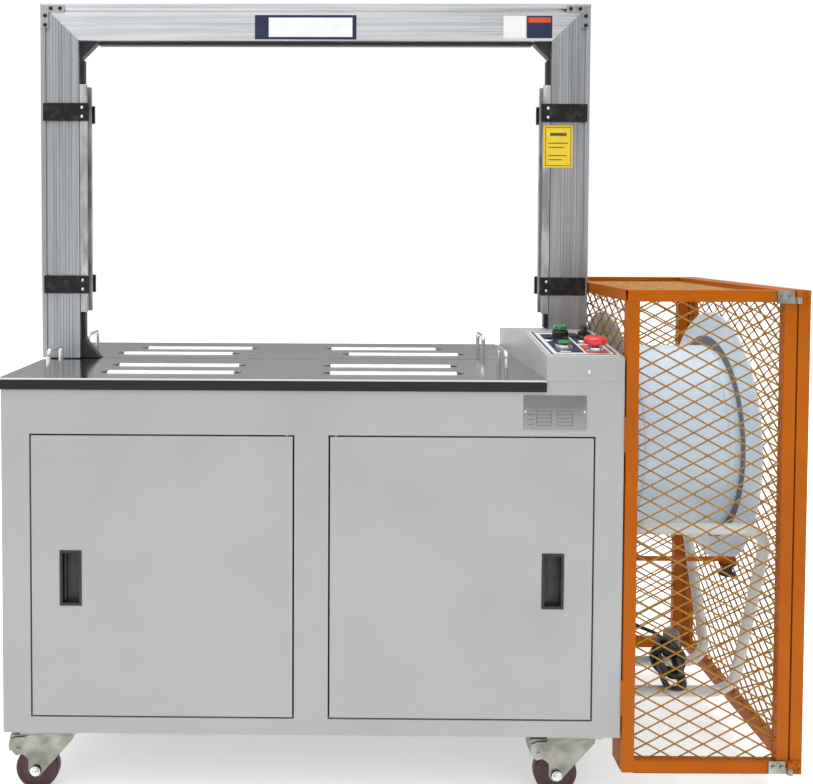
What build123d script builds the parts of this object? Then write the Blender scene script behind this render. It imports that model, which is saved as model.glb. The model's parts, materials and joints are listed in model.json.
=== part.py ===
"""Arch strapping machine on casters, with a caged strap reel at its right-hand side.

Millimetres. +X is to the operator's right, +Y away from the operator, +Z up. The origin is on the
floor, in the middle of the machine's footprint.
"""

from build123d import *
import math
import os

os.makedirs("parts", exist_ok=True)

# ---------------------------------------------------------------- driving dimensions
# Cabinet
cabinet_w = 1060.0          # outside, left to right
table_d = 567.0             # table, front to back
table_h = 730.0             # floor to the table's top face
cabinet_z = 115.0           # floor to the cabinet's bottom
sheet_t = 2.0               # cabinet and console sheet steel
floor_t = 4.0               # cabinet floor plate
fascia_set_back = 3.0       # front sheet behind the table's front edge
# Doors
side_stile = 48.0
middle_stile = 58.0
bottom_rail = 28.0
door_h = 485.0
door_gap = 3.0              # all round each door
door_fold = 15.0            # depth of the doors' folded edges
frame_fold = 18.0           # depth of the returns round the door openings
top_flange = 25.0           # depth of the front sheet's top fold
vent_rows, vent_pitch = 7, 16.0     # cooling slots in the back panel
vent_w, vent_h, vent_rise = 120.0, 5.0, 170.0
pull_w, pull_h = 38.0, 96.0
pull_from_edge = 48.0       # free edge of a door to its pull
pull_rise = -3.0            # pull centre above the door's centre
pull_depth = 13.0
pull_rim, pull_rim_t, pull_wall = 3.0, 1.2, 2.0
hinge_inset = 10.0          # door pivots from the hinge edge
hinge_set_back = 7.0        # door pivots behind the door's face
door_pin_r = 4.0
pin_engagement = 11.0       # hinge pin inside the door
pivot_block = 14.0          # height of the pivot blocks in the doors' corners
# Table plates
plate_t = 2.0
plate_skirt = 20.0
plate_w = 928.0             # cabinet's left side to the plates' right edge
plate_overhang = 3.0        # plates beyond the cabinet's left side
plate_rest_gap = 0.3        # plates above what they rest on
seam_gap = 3.0              # strap slot between the two plates
roller_r = 15.0
roller_l = 236.0
roller_proud = 3.0          # rollers above the table's face
roller_end_gap = 7.0        # slot beyond each end of a roller
slot_side_gap = 2.0         # slot edge to the roller at the plate's underside
roller_pin_r = 4.0
roller_tab_t, roller_tab_w = 4.0, 20.0      # brackets that hold the rollers' pins
row_from_plate_edge = (80.0, 178.0)
roller_x = (278.0, 672.5)   # roller centres from the cabinet's left side
roller_x_by_seam = (246.0, 709.0)   # in the row just behind the strap slot
handle_x = (57.0, 874.0)
handle_y = (90.0, 170.0)    # handle legs from a plate's front edge
handle_h = 36.0
handle_r = 4.0
handle_tail = 10.0          # handle ends below the plate
handle_nut_r, handle_nut_h = 7.0, 5.0
# Arch
arch_h = 1422.0             # floor to the top of the arch
arch_overhang = 6.0         # arch beyond the cabinet's left side
profile_face = 74.0         # extrusion, across its ribbed face
beam_face = 71.0
profile_d = 45.0            # extrusion, front to back
arch_behind_seam = 5.0      # arch centre behind the strap slot
leg_clearance = 3.0         # table cut-out round the arch legs
leg_lift = 2.0              # leg profile above the table face
foot_w, foot_d = 56.0, 36.0
rib_pitch, rib_w, rib_depth = 6.0, 1.0, 0.8
rib_count = 7
lip_w, lip_groove_w, lip_groove_d = 9.0, 8.0, 4.0
track_w, track_depth = 18.0, 8.0
corner_leg, corner_plate_w, corner_plate_t = 44.0, 14.0, 3.0
corner_plate_inset = 3.0
corner_bolt_r, corner_bolt_h = 4.0, 3.0
bolts_along_beam = (11.0, 29.0)     # from the corner plate's centre line
bolts_down_leg = (14.0, 32.0)
guide_size = 36.0           # black strap guides in the four corners
guide_w = 22.0
strip_t = 7.0               # black strips in the strap tracks
guard_t, guard_d = 14.0, 8.0
guard_z = (822.0, 1266.0)
clamp_z = (876.0, 1212.0)
clamp_h, clamp_t = 35.0, 5.0
clamp_reach = 20.0          # clamp plates beyond the leg's inner face
clamp_inset = 5.0           # clamp plates from the leg's outer edge
clamp_screw_r, clamp_screw_h = 3.0, 2.5
# Console
console_front_h = 39.4      # above the table
console_back_h = 62.5
console_slope_end = 220.0   # where the sloped panel ends, from the table's front
cover_back_h = 43.0
cover_end = 505.0           # rear end of the console's cover
console_gap = 1.0           # between the console and its rear cover
panel_w, panel_l, panel_t = 117.0, 196.0, 2.0
panel_from_front = 8.0
control_spots = {"estop": (91.0, 42.0), "feed": (43.0, 66.0), "power": (54.0, 150.0),
                 "mode": (97.0, 148.0), "blank": (80.0, 170.0)}    # across and up the slope
timer_spots = ((28.0, 122.0), (57.0, 116.0), (86.0, 116.0))
bezel_h = {"estop": 8.0, "feed": 6.0, "power": 14.0, "mode": 6.0}
bezel_r = {"estop": 15.0, "feed": 14.5, "power": 14.5, "mode": 13.0}
bezel_neck_r = 11.0         # panel holes for 22 mm units
estop_travel, button_travel = 4.0, 3.0
stem_r, stem_below = 6.0, 18.0
control_clearance = 0.06
# Cage
cage_gap = 3.0              # cabinet to cage
cage_w = 283.0              # fixed frame, left to right
cage_d = 545.0
cage_z = (56.0, 884.0)
cage_tube = 20.0
cage_wall = 1.5
cage_door_gap = 3.0
mesh_t = 2.5
mesh_long, mesh_short = 47.0, 26.0  # expanded-metal diamonds
mesh_strand = 3.2
cage_hinge_pin_r = 2.5
cage_barrel_r = 4.7
cage_hinge_out = 5.0        # hinge axis in front of the cage
cage_hinge_h = 22.0
cage_leaf_l, cage_leaf_t = 34.0, 3.0
cage_spacer_h = 60.0
mesh_border = 3.0           # plain edge of each expanded sheet
# Reel
reel_z = 586.0
reel_y = 272.0
reel_r = 240.0
drum_r = 175.0
drum_l = 191.0
flange_t = 3.0
flange_flare = 9.0          # how far a flange's rim leans outwards
flare_start_r = 196.0
reel_wall = 4.0
drum_from_cabinet = 45.0    # cabinet's side to the drum
shaft_r = 15.0
running_clearance = 0.05
hub_r, collar_l = 26.0, 14.0
stand_plate_w, stand_plate_t = 120.0, 6.0   # shaft's wall plate on the cabinet
hoop_r = 10.0
hoop_wall = 1.5
hoop_bend = 45.0
hoop_reach = 262.0          # cabinet's side to the hoops' outer runs
near_hoop = ((40.0, 467.0), (183.0, 115.0))     # (Y, Z) of its top and bottom runs
far_hoop = ((497.0, 462.0), (316.0, 115.0))
arm_y, arm_z = 100.0, 395.0
arm_l = 215.0
arm_pin_r = 4.0
arm_pivot_out = 15.0        # arm's pin from the cabinet's side
clevis_t = 4.0
spool_r, spool_core_r, spool_h = 15.0, 8.0, 21.0
# Casters
wheel_r = 37.5
wheel_w = 24.0
caster_inset = 76.0         # swivel axis from the cabinet's side
caster_from_front = 42.0
caster_trail = 27.0
axle_r = 6.0
caster_plate_t = 4.0
kingpin_r = 5.0
fork_t = 2.5
race_r, race_h, race_gap = 24.0, 10.0, 0.3
side_gap = 3.0              # wheel to fork
axle_head_r, axle_head_h = 9.0, 4.0
pedal_w, pedal_t = 22.0, 3.0
# Works inside the cabinet
head_x = (430.0, 640.0)
head_top_gap = 5.0          # sealing head below the table plates
head_bottom = 560.0
head_plate_t = 12.0
deck_t = 6.0
deck_bar, deck_end_bar = 30.0, 90.0
head_half_d = 45.0
feed_r, pinch_r = 30.0, 18.0
feed_nip = 0.4              # gap between the two feed rollers
feed_shaft_r = 6.0
motor_r, motor_l = 55.0, 150.0
gearbox_half = 45.0
pool_x = (760.0, 1000.0)
pool_y = (150.0, 215.0)
pool_h = 400.0
# Power cord
cord_r = 4.0
cord_exit_y, cord_exit_z = 430.0, 172.0
gland_thread_r, gland_l = 9.0, 34.0
gland_nut_r, gland_nut_l = 12.0, 10.0
hank_rx, hank_rz = 25.0, 21.0
plug_size = (30.0, 42.0, 34.0)
plug_aside = 21.0           # plug's middle beside the hank's middle
plug_pin_r, plug_pin_l, plug_pin_gap = 2.2, 18.0, 19.0

# ---------------------------------------------------------------- places that follow
overall_w = arch_overhang + cabinet_w + cage_gap + cage_w + cage_door_gap + cage_tube
front_reach = cage_hinge_out + cage_barrel_r
x0 = -overall_w / 2 + arch_overhang             # cabinet's left side
y0 = -(table_d + front_reach) / 2 + front_reach  # table's front edge
right_side = x0 + cabinet_w
fascia_y = y0 + fascia_set_back
back_y = y0 + table_d - fascia_set_back
plate_under = table_h - plate_t
top_z = plate_under - plate_rest_gap            # top of the cabinet's own frame
floor_top = cabinet_z + floor_t
deck_z = table_h - 30.0                         # top of the deck that the arch stands on
seam_y = y0 + table_d / 2
arch_y = seam_y + arch_behind_seam
arch_x = (x0 - arch_overhang, right_side)
roller_z = table_h + roller_proud - roller_r
slope = math.degrees(math.atan2(console_back_h - console_front_h, console_slope_end - fascia_set_back))
cage_x = (right_side + cage_gap, right_side + cage_gap + cage_w)
cage_y = (y0, y0 + cage_d)
door_tube_x = (cage_x[1] + cage_door_gap, cage_x[1] + cage_door_gap + cage_tube)
hinge_axis_x = cage_x[1] + cage_door_gap / 2
hinge_axis_y = y0 - cage_hinge_out
opening_w = (cabinet_w - 2 * side_stile - middle_stile) / 2
opening_x = [(x0 + side_stile, x0 + side_stile + opening_w),
             (right_side - side_stile - opening_w, right_side - side_stile)]
opening_z = (cabinet_z + bottom_rail, cabinet_z + bottom_rail + door_h + 2 * door_gap)
door_x = [(a + door_gap, b - door_gap) for a, b in opening_x]
door_z = (opening_z[0] + door_gap, opening_z[1] - door_gap)
pivot_x = (door_x[0][1] - hinge_inset, door_x[1][0] + hinge_inset)
pivot_y = fascia_y + hinge_set_back
pull_z = (door_z[0] + door_z[1]) / 2 + pull_rise
pull_x = [(door_x[0][0] + pull_from_edge, door_x[0][0] + pull_from_edge + pull_w),
          (door_x[1][1] - pull_from_edge - pull_w, door_x[1][1] - pull_from_edge)]
side_rail_z = table_h - 25.0                    # cage's left-hand middle rail, beside the table
axle_z = wheel_r


# ---------------------------------------------------------------- shared shapes
def block(x, y, z):
    """A plain block between pairs of positions along X, Y and Z."""
    size = [b - a for a, b in (x, y, z)]
    middle = [(a + b) / 2 for a, b in (x, y, z)]
    return Pos(*middle) * Box(*size)


def rod(start, axis, radius, length):
    """A round bar that runs from start in the positive direction of an axis."""
    turn = {"X": Rot(0, 90, 0), "Y": Rot(-90, 0, 0), "Z": Rot(0, 0, 0)}[axis]
    return Pos(*start) * turn * Pos(0, 0, length / 2) * Cylinder(radius, length)


def plate_xz(points, y):
    """A flat plate with a polygon outline in XZ and its thickness along Y."""
    face = make_face(Polyline([(px, y[0], pz) for px, pz in points], close=True))
    return extrude(face, amount=y[1] - y[0], dir=(0, 1, 0))


def plate_yz(points, x):
    """A flat plate with a polygon outline in YZ and its thickness along X."""
    face = make_face(Polyline([(x[0], py, pz) for py, pz in points], close=True))
    return extrude(face, amount=x[1] - x[0], dir=(1, 0, 0))


def tube_x(x, y, z, wall):
    """A square tube along X."""
    inner = block(x, (y[0] + wall, y[1] - wall), (z[0] + wall, z[1] - wall))
    return block(x, y, z) - inner


def tube_y(x, y, z, wall):
    """A square tube along Y."""
    inner = block((x[0] + wall, x[1] - wall), y, (z[0] + wall, z[1] - wall))
    return block(x, y, z) - inner


def tube_z(x, y, z, wall):
    """A square tube along Z."""
    inner = block((x[0] + wall, x[1] - wall), (y[0] + wall, y[1] - wall), z)
    return block(x, y, z) - inner


def save(name, *shapes):
    """Write one sub-part's solids to its own STEP file."""
    solids = [s for shape in shapes for s in shape.solids()]
    whole = solids[0] if len(solids) == 1 else Compound(children=solids)
    export_step(whole, f"parts/{name}.step")


# ---------------------------------------------------------------- cabinet
def front_frame():
    """The welded front sheet, with a folded return round each door opening."""
    frame = block((x0, right_side), (fascia_y, fascia_y + sheet_t), (cabinet_z, top_z))
    for x in opening_x:
        frame += block((x[0] - sheet_t, x[1] + sheet_t), (fascia_y, fascia_y + frame_fold),
                       (opening_z[0] - sheet_t, opening_z[1] + sheet_t))
    for x in opening_x:
        frame -= block(x, (fascia_y - 1, fascia_y + frame_fold + 1), opening_z)
    frame += block((x0 + sheet_t, x0 + plate_w), (fascia_y, fascia_y + top_flange), (top_z - sheet_t, top_z))
    for x in pivot_x:
        frame -= rod((x, pivot_y, opening_z[0] - 10), "Z", door_pin_r, door_h + 40)
    return frame


def side_panel(x):
    """One side sheet, from the front sheet to the back panel."""
    return block(x, (fascia_y + sheet_t, back_y - sheet_t), (cabinet_z, top_z - sheet_t))


def right_side_panel():
    """The right-hand side sheet, with the cord's hole."""
    panel = side_panel((right_side - sheet_t, right_side))
    return panel - rod((right_side - 5, y0 + cord_exit_y, cord_exit_z), "X", gland_thread_r, 10)


def back_panel():
    """The removable back sheet, with two banks of cooling slots."""
    panel = block((x0, right_side), (back_y - sheet_t, back_y), (cabinet_z, top_z))
    slots = []
    for bank in (x0 + cabinet_w / 4, x0 + 3 * cabinet_w / 4):
        for i in range(vent_rows):
            z = cabinet_z + vent_rise + vent_pitch * i
            slots.append(block((bank - vent_w / 2, bank + vent_w / 2), (back_y - sheet_t - 1, back_y + 1),
                               (z, z + vent_h)))
    return panel - slots


def deck():
    """The frame of flat bars under the table that carries the arch and hangs the sealing head."""
    y = (fascia_y + frame_fold + 10, back_y - sheet_t)
    whole = block((x0 + sheet_t, right_side - sheet_t), y, (deck_z - deck_t, deck_z))
    spans = [(x0 + deck_end_bar, x0 + head_x[0] - deck_bar), (x0 + head_x[0] - 2, x0 + head_x[1] + 2),
             (x0 + head_x[1] + deck_bar, x0 + plate_w - deck_bar)]
    return whole - [block(x, (y[0] + 20, y[1] - deck_bar), (deck_z - 50, deck_z + 1)) for x in spans]


def floor_plate():
    """The heavy floor plate that the casters bolt to."""
    return block((x0 + sheet_t, right_side - sheet_t),
                 (fascia_y + sheet_t, back_y - sheet_t), (cabinet_z, floor_top))


# ---------------------------------------------------------------- doors
def door(side):
    """A folded sheet door with pivot blocks in the two corners of its hinge edge."""
    x, px = door_x[side], pull_x[side]
    shell = block(x, (fascia_y, fascia_y + door_fold), door_z)
    shell -= block((x[0] + sheet_t, x[1] - sheet_t), (fascia_y + sheet_t, fascia_y + door_fold + 1),
                   (door_z[0] + sheet_t, door_z[1] - sheet_t))
    shell -= block((px[0] + pull_rim, px[1] - pull_rim), (fascia_y - 1, fascia_y + sheet_t + 1),
                   (pull_z - pull_h / 2 + pull_rim, pull_z + pull_h / 2 - pull_rim))
    edge = (x[1] - 2 * hinge_inset, x[1] - sheet_t) if side == 0 else (x[0] + sheet_t, x[0] + 2 * hinge_inset)
    for z in ((door_z[0] + sheet_t, door_z[0] + pivot_block), (door_z[1] - pivot_block, door_z[1] - sheet_t)):
        shell += block(edge, (fascia_y + sheet_t, fascia_y + door_fold), z)
    bore = door_pin_r + running_clearance
    depth = pin_engagement + 0.5
    shell -= rod((pivot_x[side], pivot_y, door_z[0] - 1), "Z", bore, depth + 1)
    shell -= rod((pivot_x[side], pivot_y, door_z[1] - depth), "Z", bore, depth + 1)
    return shell


def door_pull(side):
    """A black moulded cup, let into the door, with a rim on the door's face."""
    px = pull_x[side]
    z = (pull_z - pull_h / 2, pull_z + pull_h / 2)
    inner = pull_rim + pull_wall
    rim = block(px, (fascia_y - pull_rim_t, fascia_y), z)
    cup = block((px[0] + pull_rim, px[1] - pull_rim), (fascia_y, fascia_y + pull_depth),
                (z[0] + pull_rim, z[1] - pull_rim))
    hollow = block((px[0] + inner, px[1] - inner), (fascia_y - pull_rim_t - 1, fascia_y + pull_depth - pull_wall),
                   (z[0] + inner, z[1] - inner))
    return rim + cup - hollow


def hinge_hardware():
    """Pins of the two cabinet doors, and the cage door's fixed hinge leaves with their pins."""
    shapes = []
    for x in pivot_x:
        low = door_z[0] + pin_engagement
        shapes.append(rod((x, pivot_y, opening_z[0] - 8), "Z", door_pin_r, low - opening_z[0] + 8))
        high = door_z[1] - pin_engagement
        shapes.append(rod((x, pivot_y, high), "Z", door_pin_r, opening_z[1] + 8 - high))
    for z in cage_hinge_z:
        half = cage_hinge_h / 2
        leaf = block((cage_x[1] - cage_leaf_l, hinge_axis_x), (y0 - cage_leaf_t, y0), (z, z + cage_hinge_h))
        leaf += rod((hinge_axis_x, hinge_axis_y, z), "Z", cage_barrel_r, half - 0.3)
        leaf -= block((hinge_axis_x - 7, hinge_axis_x + 9), (y0 - 15, y0 + 1), (z + half - 0.3, z + half * 2 + 1))
        leaf += rod((hinge_axis_x, hinge_axis_y, z), "Z", cage_hinge_pin_r, cage_hinge_h)
        shapes.append(leaf)
        for i in (0, 1):
            shapes.append(rod((cage_x[1] - 12 - 14 * i, y0 - 2 * cage_leaf_t, z + half), "Y", 3.5, cage_leaf_t))
    return shapes


# ---------------------------------------------------------------- table
plate_front = (y0, seam_y + seam_gap / 2)      # front edge of each plate
plate_back = (seam_y - seam_gap / 2, y0 + table_d)
plate_x = (x0 - plate_overhang, x0 + plate_w)
row_x = [roller_x, roller_x, roller_x_by_seam, roller_x]
row_y = [plate_front[i // 2] + row_from_plate_edge[i % 2] for i in range(4)]
leg_gap_y = (arch_y - profile_d / 2 - leg_clearance, arch_y + profile_d / 2 + leg_clearance)


def slot_width():
    """Width of a roller slot: the roller's width at the plate's underside, and the side gaps."""
    rise = plate_under - roller_z
    return 2 * (math.sqrt(roller_r ** 2 - rise ** 2) + slot_side_gap)


def table_plate(index):
    """A polished plate with folded edges, roller slots and the roller brackets under it."""
    y = (plate_front[index], plate_back[index])
    edge = (y[0], y[0] + plate_t) if index == 0 else (y[1] - plate_t, y[1])
    plate = block(plate_x, y, (plate_under, table_h))
    plate += block(plate_x, edge, (table_h - plate_skirt, table_h))
    plate += block((plate_x[0], plate_x[0] + plate_t), y, (table_h - plate_skirt, table_h))
    plate -= block((plate_x[0] - 1, x0 - arch_overhang + profile_face + leg_clearance),
                   leg_gap_y, (table_h - plate_skirt - 1, table_h + 1))
    plate -= chute_notch(arch_x[0] + profile_face)
    for x in handle_x:
        for leg_y in handle_y:
            start = (x0 + x, plate_front[index] + leg_y, plate_under - 1)
            plate -= rod(start, "Z", handle_r + running_clearance, plate_t + 2)
    for row in (2 * index, 2 * index + 1):
        for x in row_x[row]:
            centre = Pos(x0 + x, row_y[row], table_h - 3)
            slot = SlotOverall(roller_l + 2 * roller_end_gap, slot_width())
            plate -= extrude(centre * slot, amount=6)
            for side in (-1, 1):
                tab_x = x0 + x + side * (roller_l / 2 + roller_end_gap + roller_tab_t)
                plate += block((tab_x - roller_tab_t / 2, tab_x + roller_tab_t / 2),
                               (row_y[row] - roller_tab_w / 2, row_y[row] + roller_tab_w / 2),
                               (roller_z - 9, plate_under))
                plate -= rod((tab_x - roller_tab_t, row_y[row], roller_z), "X",
                             roller_pin_r + running_clearance, 2 * roller_tab_t)
    return plate


def chute_notch(face_x):
    """Room in the plates' meeting edges for the corner guide beside the left leg."""
    return block((face_x - 1, face_x + guide_size + leg_clearance),
                 (arch_y - guide_w / 2 - 2, arch_y + guide_w / 2 + 2), (plate_under - 1, table_h + 1))


def roller_row(row):
    """The two rollers of one row, each with a pin at both ends."""
    shapes = []
    for x in row_x[row]:
        start = x0 + x - roller_l / 2
        pin_l = roller_end_gap + 1.5 * roller_tab_t
        body = rod((start, row_y[row], roller_z), "X", roller_r, roller_l)
        pin = rod((start - pin_l, row_y[row], roller_z), "X", roller_pin_r, roller_l + 2 * pin_l)
        shapes.append(chamfer(body.edges().filter_by(GeomType.CIRCLE), 1.5) + pin)
    return shapes


def plate_handles(index):
    """Two bent round-bar handles whose ends pass through one plate, with nuts under it."""
    shapes = []
    bottom = plate_under - handle_tail
    for x in handle_x:
        ys = [plate_front[index] + v for v in handle_y]
        points = [(x0 + x, ys[0], bottom), (x0 + x, ys[0], table_h + handle_h),
                  (x0 + x, ys[1], table_h + handle_h), (x0 + x, ys[1], bottom)]
        path = FilletPolyline(*points, radius=2.5 * handle_r)
        handle = sweep(Plane(points[0], z_dir=(0, 0, 1)) * Circle(handle_r), path)
        for y in ys:
            handle += rod((x0 + x, y, plate_under - handle_nut_h), "Z", handle_nut_r, handle_nut_h)
        shapes.append(handle)
    return shapes


# ---------------------------------------------------------------- arch
def profile_grooves(length, face, inward):
    """Ribs, lip groove and strap track, to cut from a profile that stands on Z.

    The profile's outer edge is at X = 0 and its inner face at X = face when inward is 1.
    """
    cuts = []
    for y, side in ((-profile_d / 2, 1), (profile_d / 2, -1)):
        lip = (lip_w, lip_w + lip_groove_w)
        depth = sorted((y - side, y + side * lip_groove_d))
        cuts.append(block(lip, depth, (0, length)))
        shallow = sorted((y - side, y + side * rib_depth))
        for i in range(rib_count):
            start = lip[1] + rib_pitch * (i + 1)
            cuts.append(block((start, start + rib_w), shallow, (0, length)))
    cuts.append(block((face - track_depth, face + 1), (-track_w / 2, track_w / 2), (0, length)))
    return [c if inward == 1 else mirror(c, about=Plane.YZ) for c in cuts]


def arch_leg(side):
    """One leg: an extrusion mitred at the top, with a foot block on the deck."""
    length = arch_h - table_h - leg_lift
    edge = arch_x[0] if side == 0 else arch_x[1]
    sign = 1 if side == 0 else -1
    span = sorted((0, sign * profile_face))
    leg = block(span, (-profile_d / 2, profile_d / 2), (0, length))
    leg -= profile_grooves(length, profile_face, sign)
    mitre = plate_xz([(0, length), (sign * profile_face, length - beam_face),
                      (sign * (profile_face + 10), length - beam_face), (sign * (profile_face + 10), length + 10),
                      (0, length + 10)], (-profile_d, profile_d))
    leg = Pos(edge, arch_y, table_h + leg_lift) * (leg - mitre)
    middle = edge + sign * profile_face / 2
    foot = block((middle - foot_w / 2, middle + foot_w / 2), (arch_y - foot_d / 2, arch_y + foot_d / 2),
                 (deck_z, table_h + leg_lift))
    return leg + foot


def arch_beam():
    """The top extrusion, mitred at both ends."""
    length = arch_x[1] - arch_x[0]
    beam = block((0, beam_face), (-profile_d / 2, profile_d / 2), (0, length))
    beam -= profile_grooves(length, beam_face, 1)
    beam = Pos(arch_x[0], arch_y, arch_h) * Rot(0, 90, 0) * beam
    under = arch_h - beam_face
    for edge, sign in ((arch_x[0], 1), (arch_x[1], -1)):
        beam -= plate_xz([(edge, arch_h), (edge + sign * profile_face, under),
                          (edge + sign * profile_face, under - 10), (edge - sign * 10, under - 10),
                          (edge - sign * 10, arch_h)], (arch_y - profile_d, arch_y + profile_d))
    return beam


def corner_plates():
    """L-shaped joining plates in the lip groove's corner, one on each side of the arch."""
    shapes = []
    for front in (-1, 1):
        face = arch_y + front * profile_d / 2
        y = sorted((face, face + front * corner_plate_t))
        for edge, sign in ((arch_x[0], 1), (arch_x[1], -1)):
            a = edge + sign * corner_plate_inset
            b = a + sign * corner_leg
            c = a + sign * corner_plate_w
            top = arch_h - corner_plate_inset
            points = [(a, top), (b, top), (b, top - corner_plate_w), (c, top - corner_plate_w),
                      (c, top - corner_leg), (a, top - corner_leg)]
            shapes.append(plate_xz(points, y))
    return shapes


def arch_bolts():
    """Button-head bolts of the corner plates, and the screws of the guard clamps."""
    shapes = []
    half = corner_plate_w / 2
    for front in (-1, 1):
        face = arch_y + front * (profile_d / 2 + corner_plate_t)
        y = face if front == 1 else face - corner_bolt_h
        spots = [(d, 0) for d in bolts_along_beam] + [(0, d) for d in bolts_down_leg]
        for edge, sign in ((arch_x[0], 1), (arch_x[1], -1)):
            middle = edge + sign * (corner_plate_inset + half)
            top = arch_h - corner_plate_inset - half
            for dx, dz in spots:
                shapes.append(rod((middle + sign * dx, y, top - dz), "Y", corner_bolt_r, corner_bolt_h))
    face = arch_y - profile_d / 2 - clamp_t
    for edge, sign in ((arch_x[0], 1), (arch_x[1], -1)):
        for z in clamp_z:
            for dz in (-clamp_h / 4, clamp_h / 4):
                x = edge + sign * (profile_face + guard_t / 2)
                shapes.append(rod((x, face - clamp_screw_h, z + dz), "Y", clamp_screw_r, clamp_screw_h))
    return shapes


def strap_guides():
    """Black guides: strips down the legs' and the beam's tracks, and a chute in each open corner."""
    y = (arch_y - guide_w / 2, arch_y + guide_w / 2)
    strip_y = (arch_y - track_w / 2, arch_y + track_w / 2)
    under = arch_h - beam_face
    corner = profile_face + guide_size
    shapes = [block((arch_x[0] + corner, arch_x[1] - corner), strip_y, (under - strip_t, under))]
    for edge, sign in ((arch_x[0], 1), (arch_x[1], -1)):
        inner = edge + sign * profile_face
        triangle = [(inner, under), (inner + sign * guide_size, under), (inner, under - guide_size)]
        shapes.append(plate_xz(triangle, y))
        strip = sorted((inner, inner + sign * strip_t))
        low = table_h + 1 + (guide_size if side_has_chute(sign) else console_back_h)
        shapes.append(block(strip, strip_y, (low, under - guide_size)))
        if side_has_chute(sign):
            shapes.append(plate_xz([(inner, table_h + 1), (inner + guide_size, table_h + 1),
                                    (inner + strip_t, table_h + 1 + guide_size),
                                    (inner, table_h + 1 + guide_size)], y))
    return shapes


def side_has_chute(sign):
    """The right-hand lower chute is inside the console."""
    return sign == 1


def guard_bars():
    """A flat bar in front of and behind each leg's strap track."""
    shapes = []
    for edge, sign in ((arch_x[0], 1), (arch_x[1], -1)):
        inner = edge + sign * (profile_face + 1)
        x = sorted((inner, inner + sign * guard_t))
        shapes.append(block(x, (arch_y - profile_d / 2, arch_y - profile_d / 2 + guard_d), guard_z))
        shapes.append(block(x, (arch_y + profile_d / 2 - guard_d, arch_y + profile_d / 2), guard_z))
    return shapes


def guard_clamps():
    """Black clamp plates, one in front of and one behind the leg at each of four heights."""
    shapes = []
    for edge, sign in ((arch_x[0], 1), (arch_x[1], -1)):
        x = sorted((edge + sign * clamp_inset, edge + sign * (profile_face + clamp_reach)))
        for z in clamp_z:
            height = (z - clamp_h / 2, z + clamp_h / 2)
            front = arch_y - profile_d / 2
            rear = arch_y + profile_d / 2
            shapes.append(block(x, (front - clamp_t, front), height))
            shapes.append(block(x, (rear, rear + clamp_t), height))
    return shapes


# ---------------------------------------------------------------- console
console_x = (x0 + plate_w + 0.5, right_side)
leg_gap_x = (arch_x[1] - profile_face - leg_clearance, arch_x[1] + 1)
panel_frame = (Pos(console_x[0], fascia_y, table_h + console_front_h) * Rot(slope, 0, 0))


def folded_cover(top_line, x):
    """A sheet cover under a line of (y, z) points, with four walls and no bottom."""
    (first_y, _), (last_y, _) = top_line[0], top_line[-1]
    outer = plate_yz(top_line + [(last_y, top_z), (first_y, top_z)], x)
    lowered = [(y, z - sheet_t) for y, z in top_line]
    inner = plate_yz(lowered + [(last_y, top_z - 1), (first_y, top_z - 1)], (x[0] + sheet_t, x[1] - sheet_t))
    inner &= block(x, (first_y + sheet_t, last_y - sheet_t), (top_z - 1, table_h + 2 * console_back_h))
    return outer - inner


def console_housing():
    """The white console box with its sloped top."""
    end = seam_y - console_gap / 2
    top = table_h + console_back_h
    top_line = [(fascia_y, table_h + console_front_h), (y0 + console_slope_end, top), (end, top)]
    body = folded_cover(top_line, console_x)
    body -= block(leg_gap_x, leg_gap_y, (top_z - 1, top + 1))
    for u, v in control_spots.values():
        body -= panel_frame * Pos(u, v, 0) * Cylinder(bezel_neck_r, 12)
    return body


def console_panel():
    """The printed switch plate on the console's slope."""
    u = (console_x[1] - console_x[0] - panel_w) / 2
    plate = panel_frame * block((u, u + panel_w), (panel_from_front, panel_from_front + panel_l), (0, panel_t))
    for cu, cv in control_spots.values():
        plate -= panel_frame * Pos(cu, cv, 0) * Cylinder(bezel_neck_r, 12)
    return plate


def rear_cover():
    """The console's rear cover, with a lid line, and a low sheet behind it."""
    start = seam_y + console_gap / 2
    top = table_h + console_back_h
    end = y0 + cover_end
    body = folded_cover([(start, top), (end, table_h + cover_back_h)], console_x)
    body -= block(leg_gap_x, leg_gap_y, (top_z - 1, top + 1))
    low = block(console_x, (end, back_y), (top_z, top_z + sheet_t))
    return body + low


def on_panel(name, shape):
    """Place a shape that is built upwards from Z = 0 on a control's spot on the panel."""
    u, v = control_spots[name]
    return panel_frame * Pos(u, v, panel_t) * shape


def bezels():
    """The fixed collars of the controls, a blanking disc and three small timer dials."""
    shapes = []
    for name, height in bezel_h.items():
        collar = rod((0, 0, 0), "Z", bezel_r[name], height) + rod((0, 0, -20), "Z", bezel_neck_r, 20)
        collar -= rod((0, 0, -21), "Z", stem_r + control_clearance, height + 22)
        shapes.append(on_panel(name, collar))
    shapes.append(on_panel("blank", rod((0, 0, 0), "Z", 15.0, 2.0)))
    for u, v in timer_spots:
        dial = rod((0, 0, 0), "Z", 8.0, 3.0) + rod((0, 0, 3), "Z", 5.0, 5.0)
        shapes.append(panel_frame * Pos(u, v, panel_t) * dial)
    return shapes


def estop_button():
    """The red mushroom head on its stem."""
    head = rod((0, 0, bezel_h["estop"] + estop_travel + 0.5), "Z", 20.0, 13.0)
    head = fillet(head.edges().filter_by(GeomType.CIRCLE).sort_by(Axis.Z)[-1], 5.0)
    neck = rod((0, 0, -stem_below), "Z", stem_r, stem_below + bezel_h["estop"] + estop_travel + 1)
    return on_panel("estop", head + neck)


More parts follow.
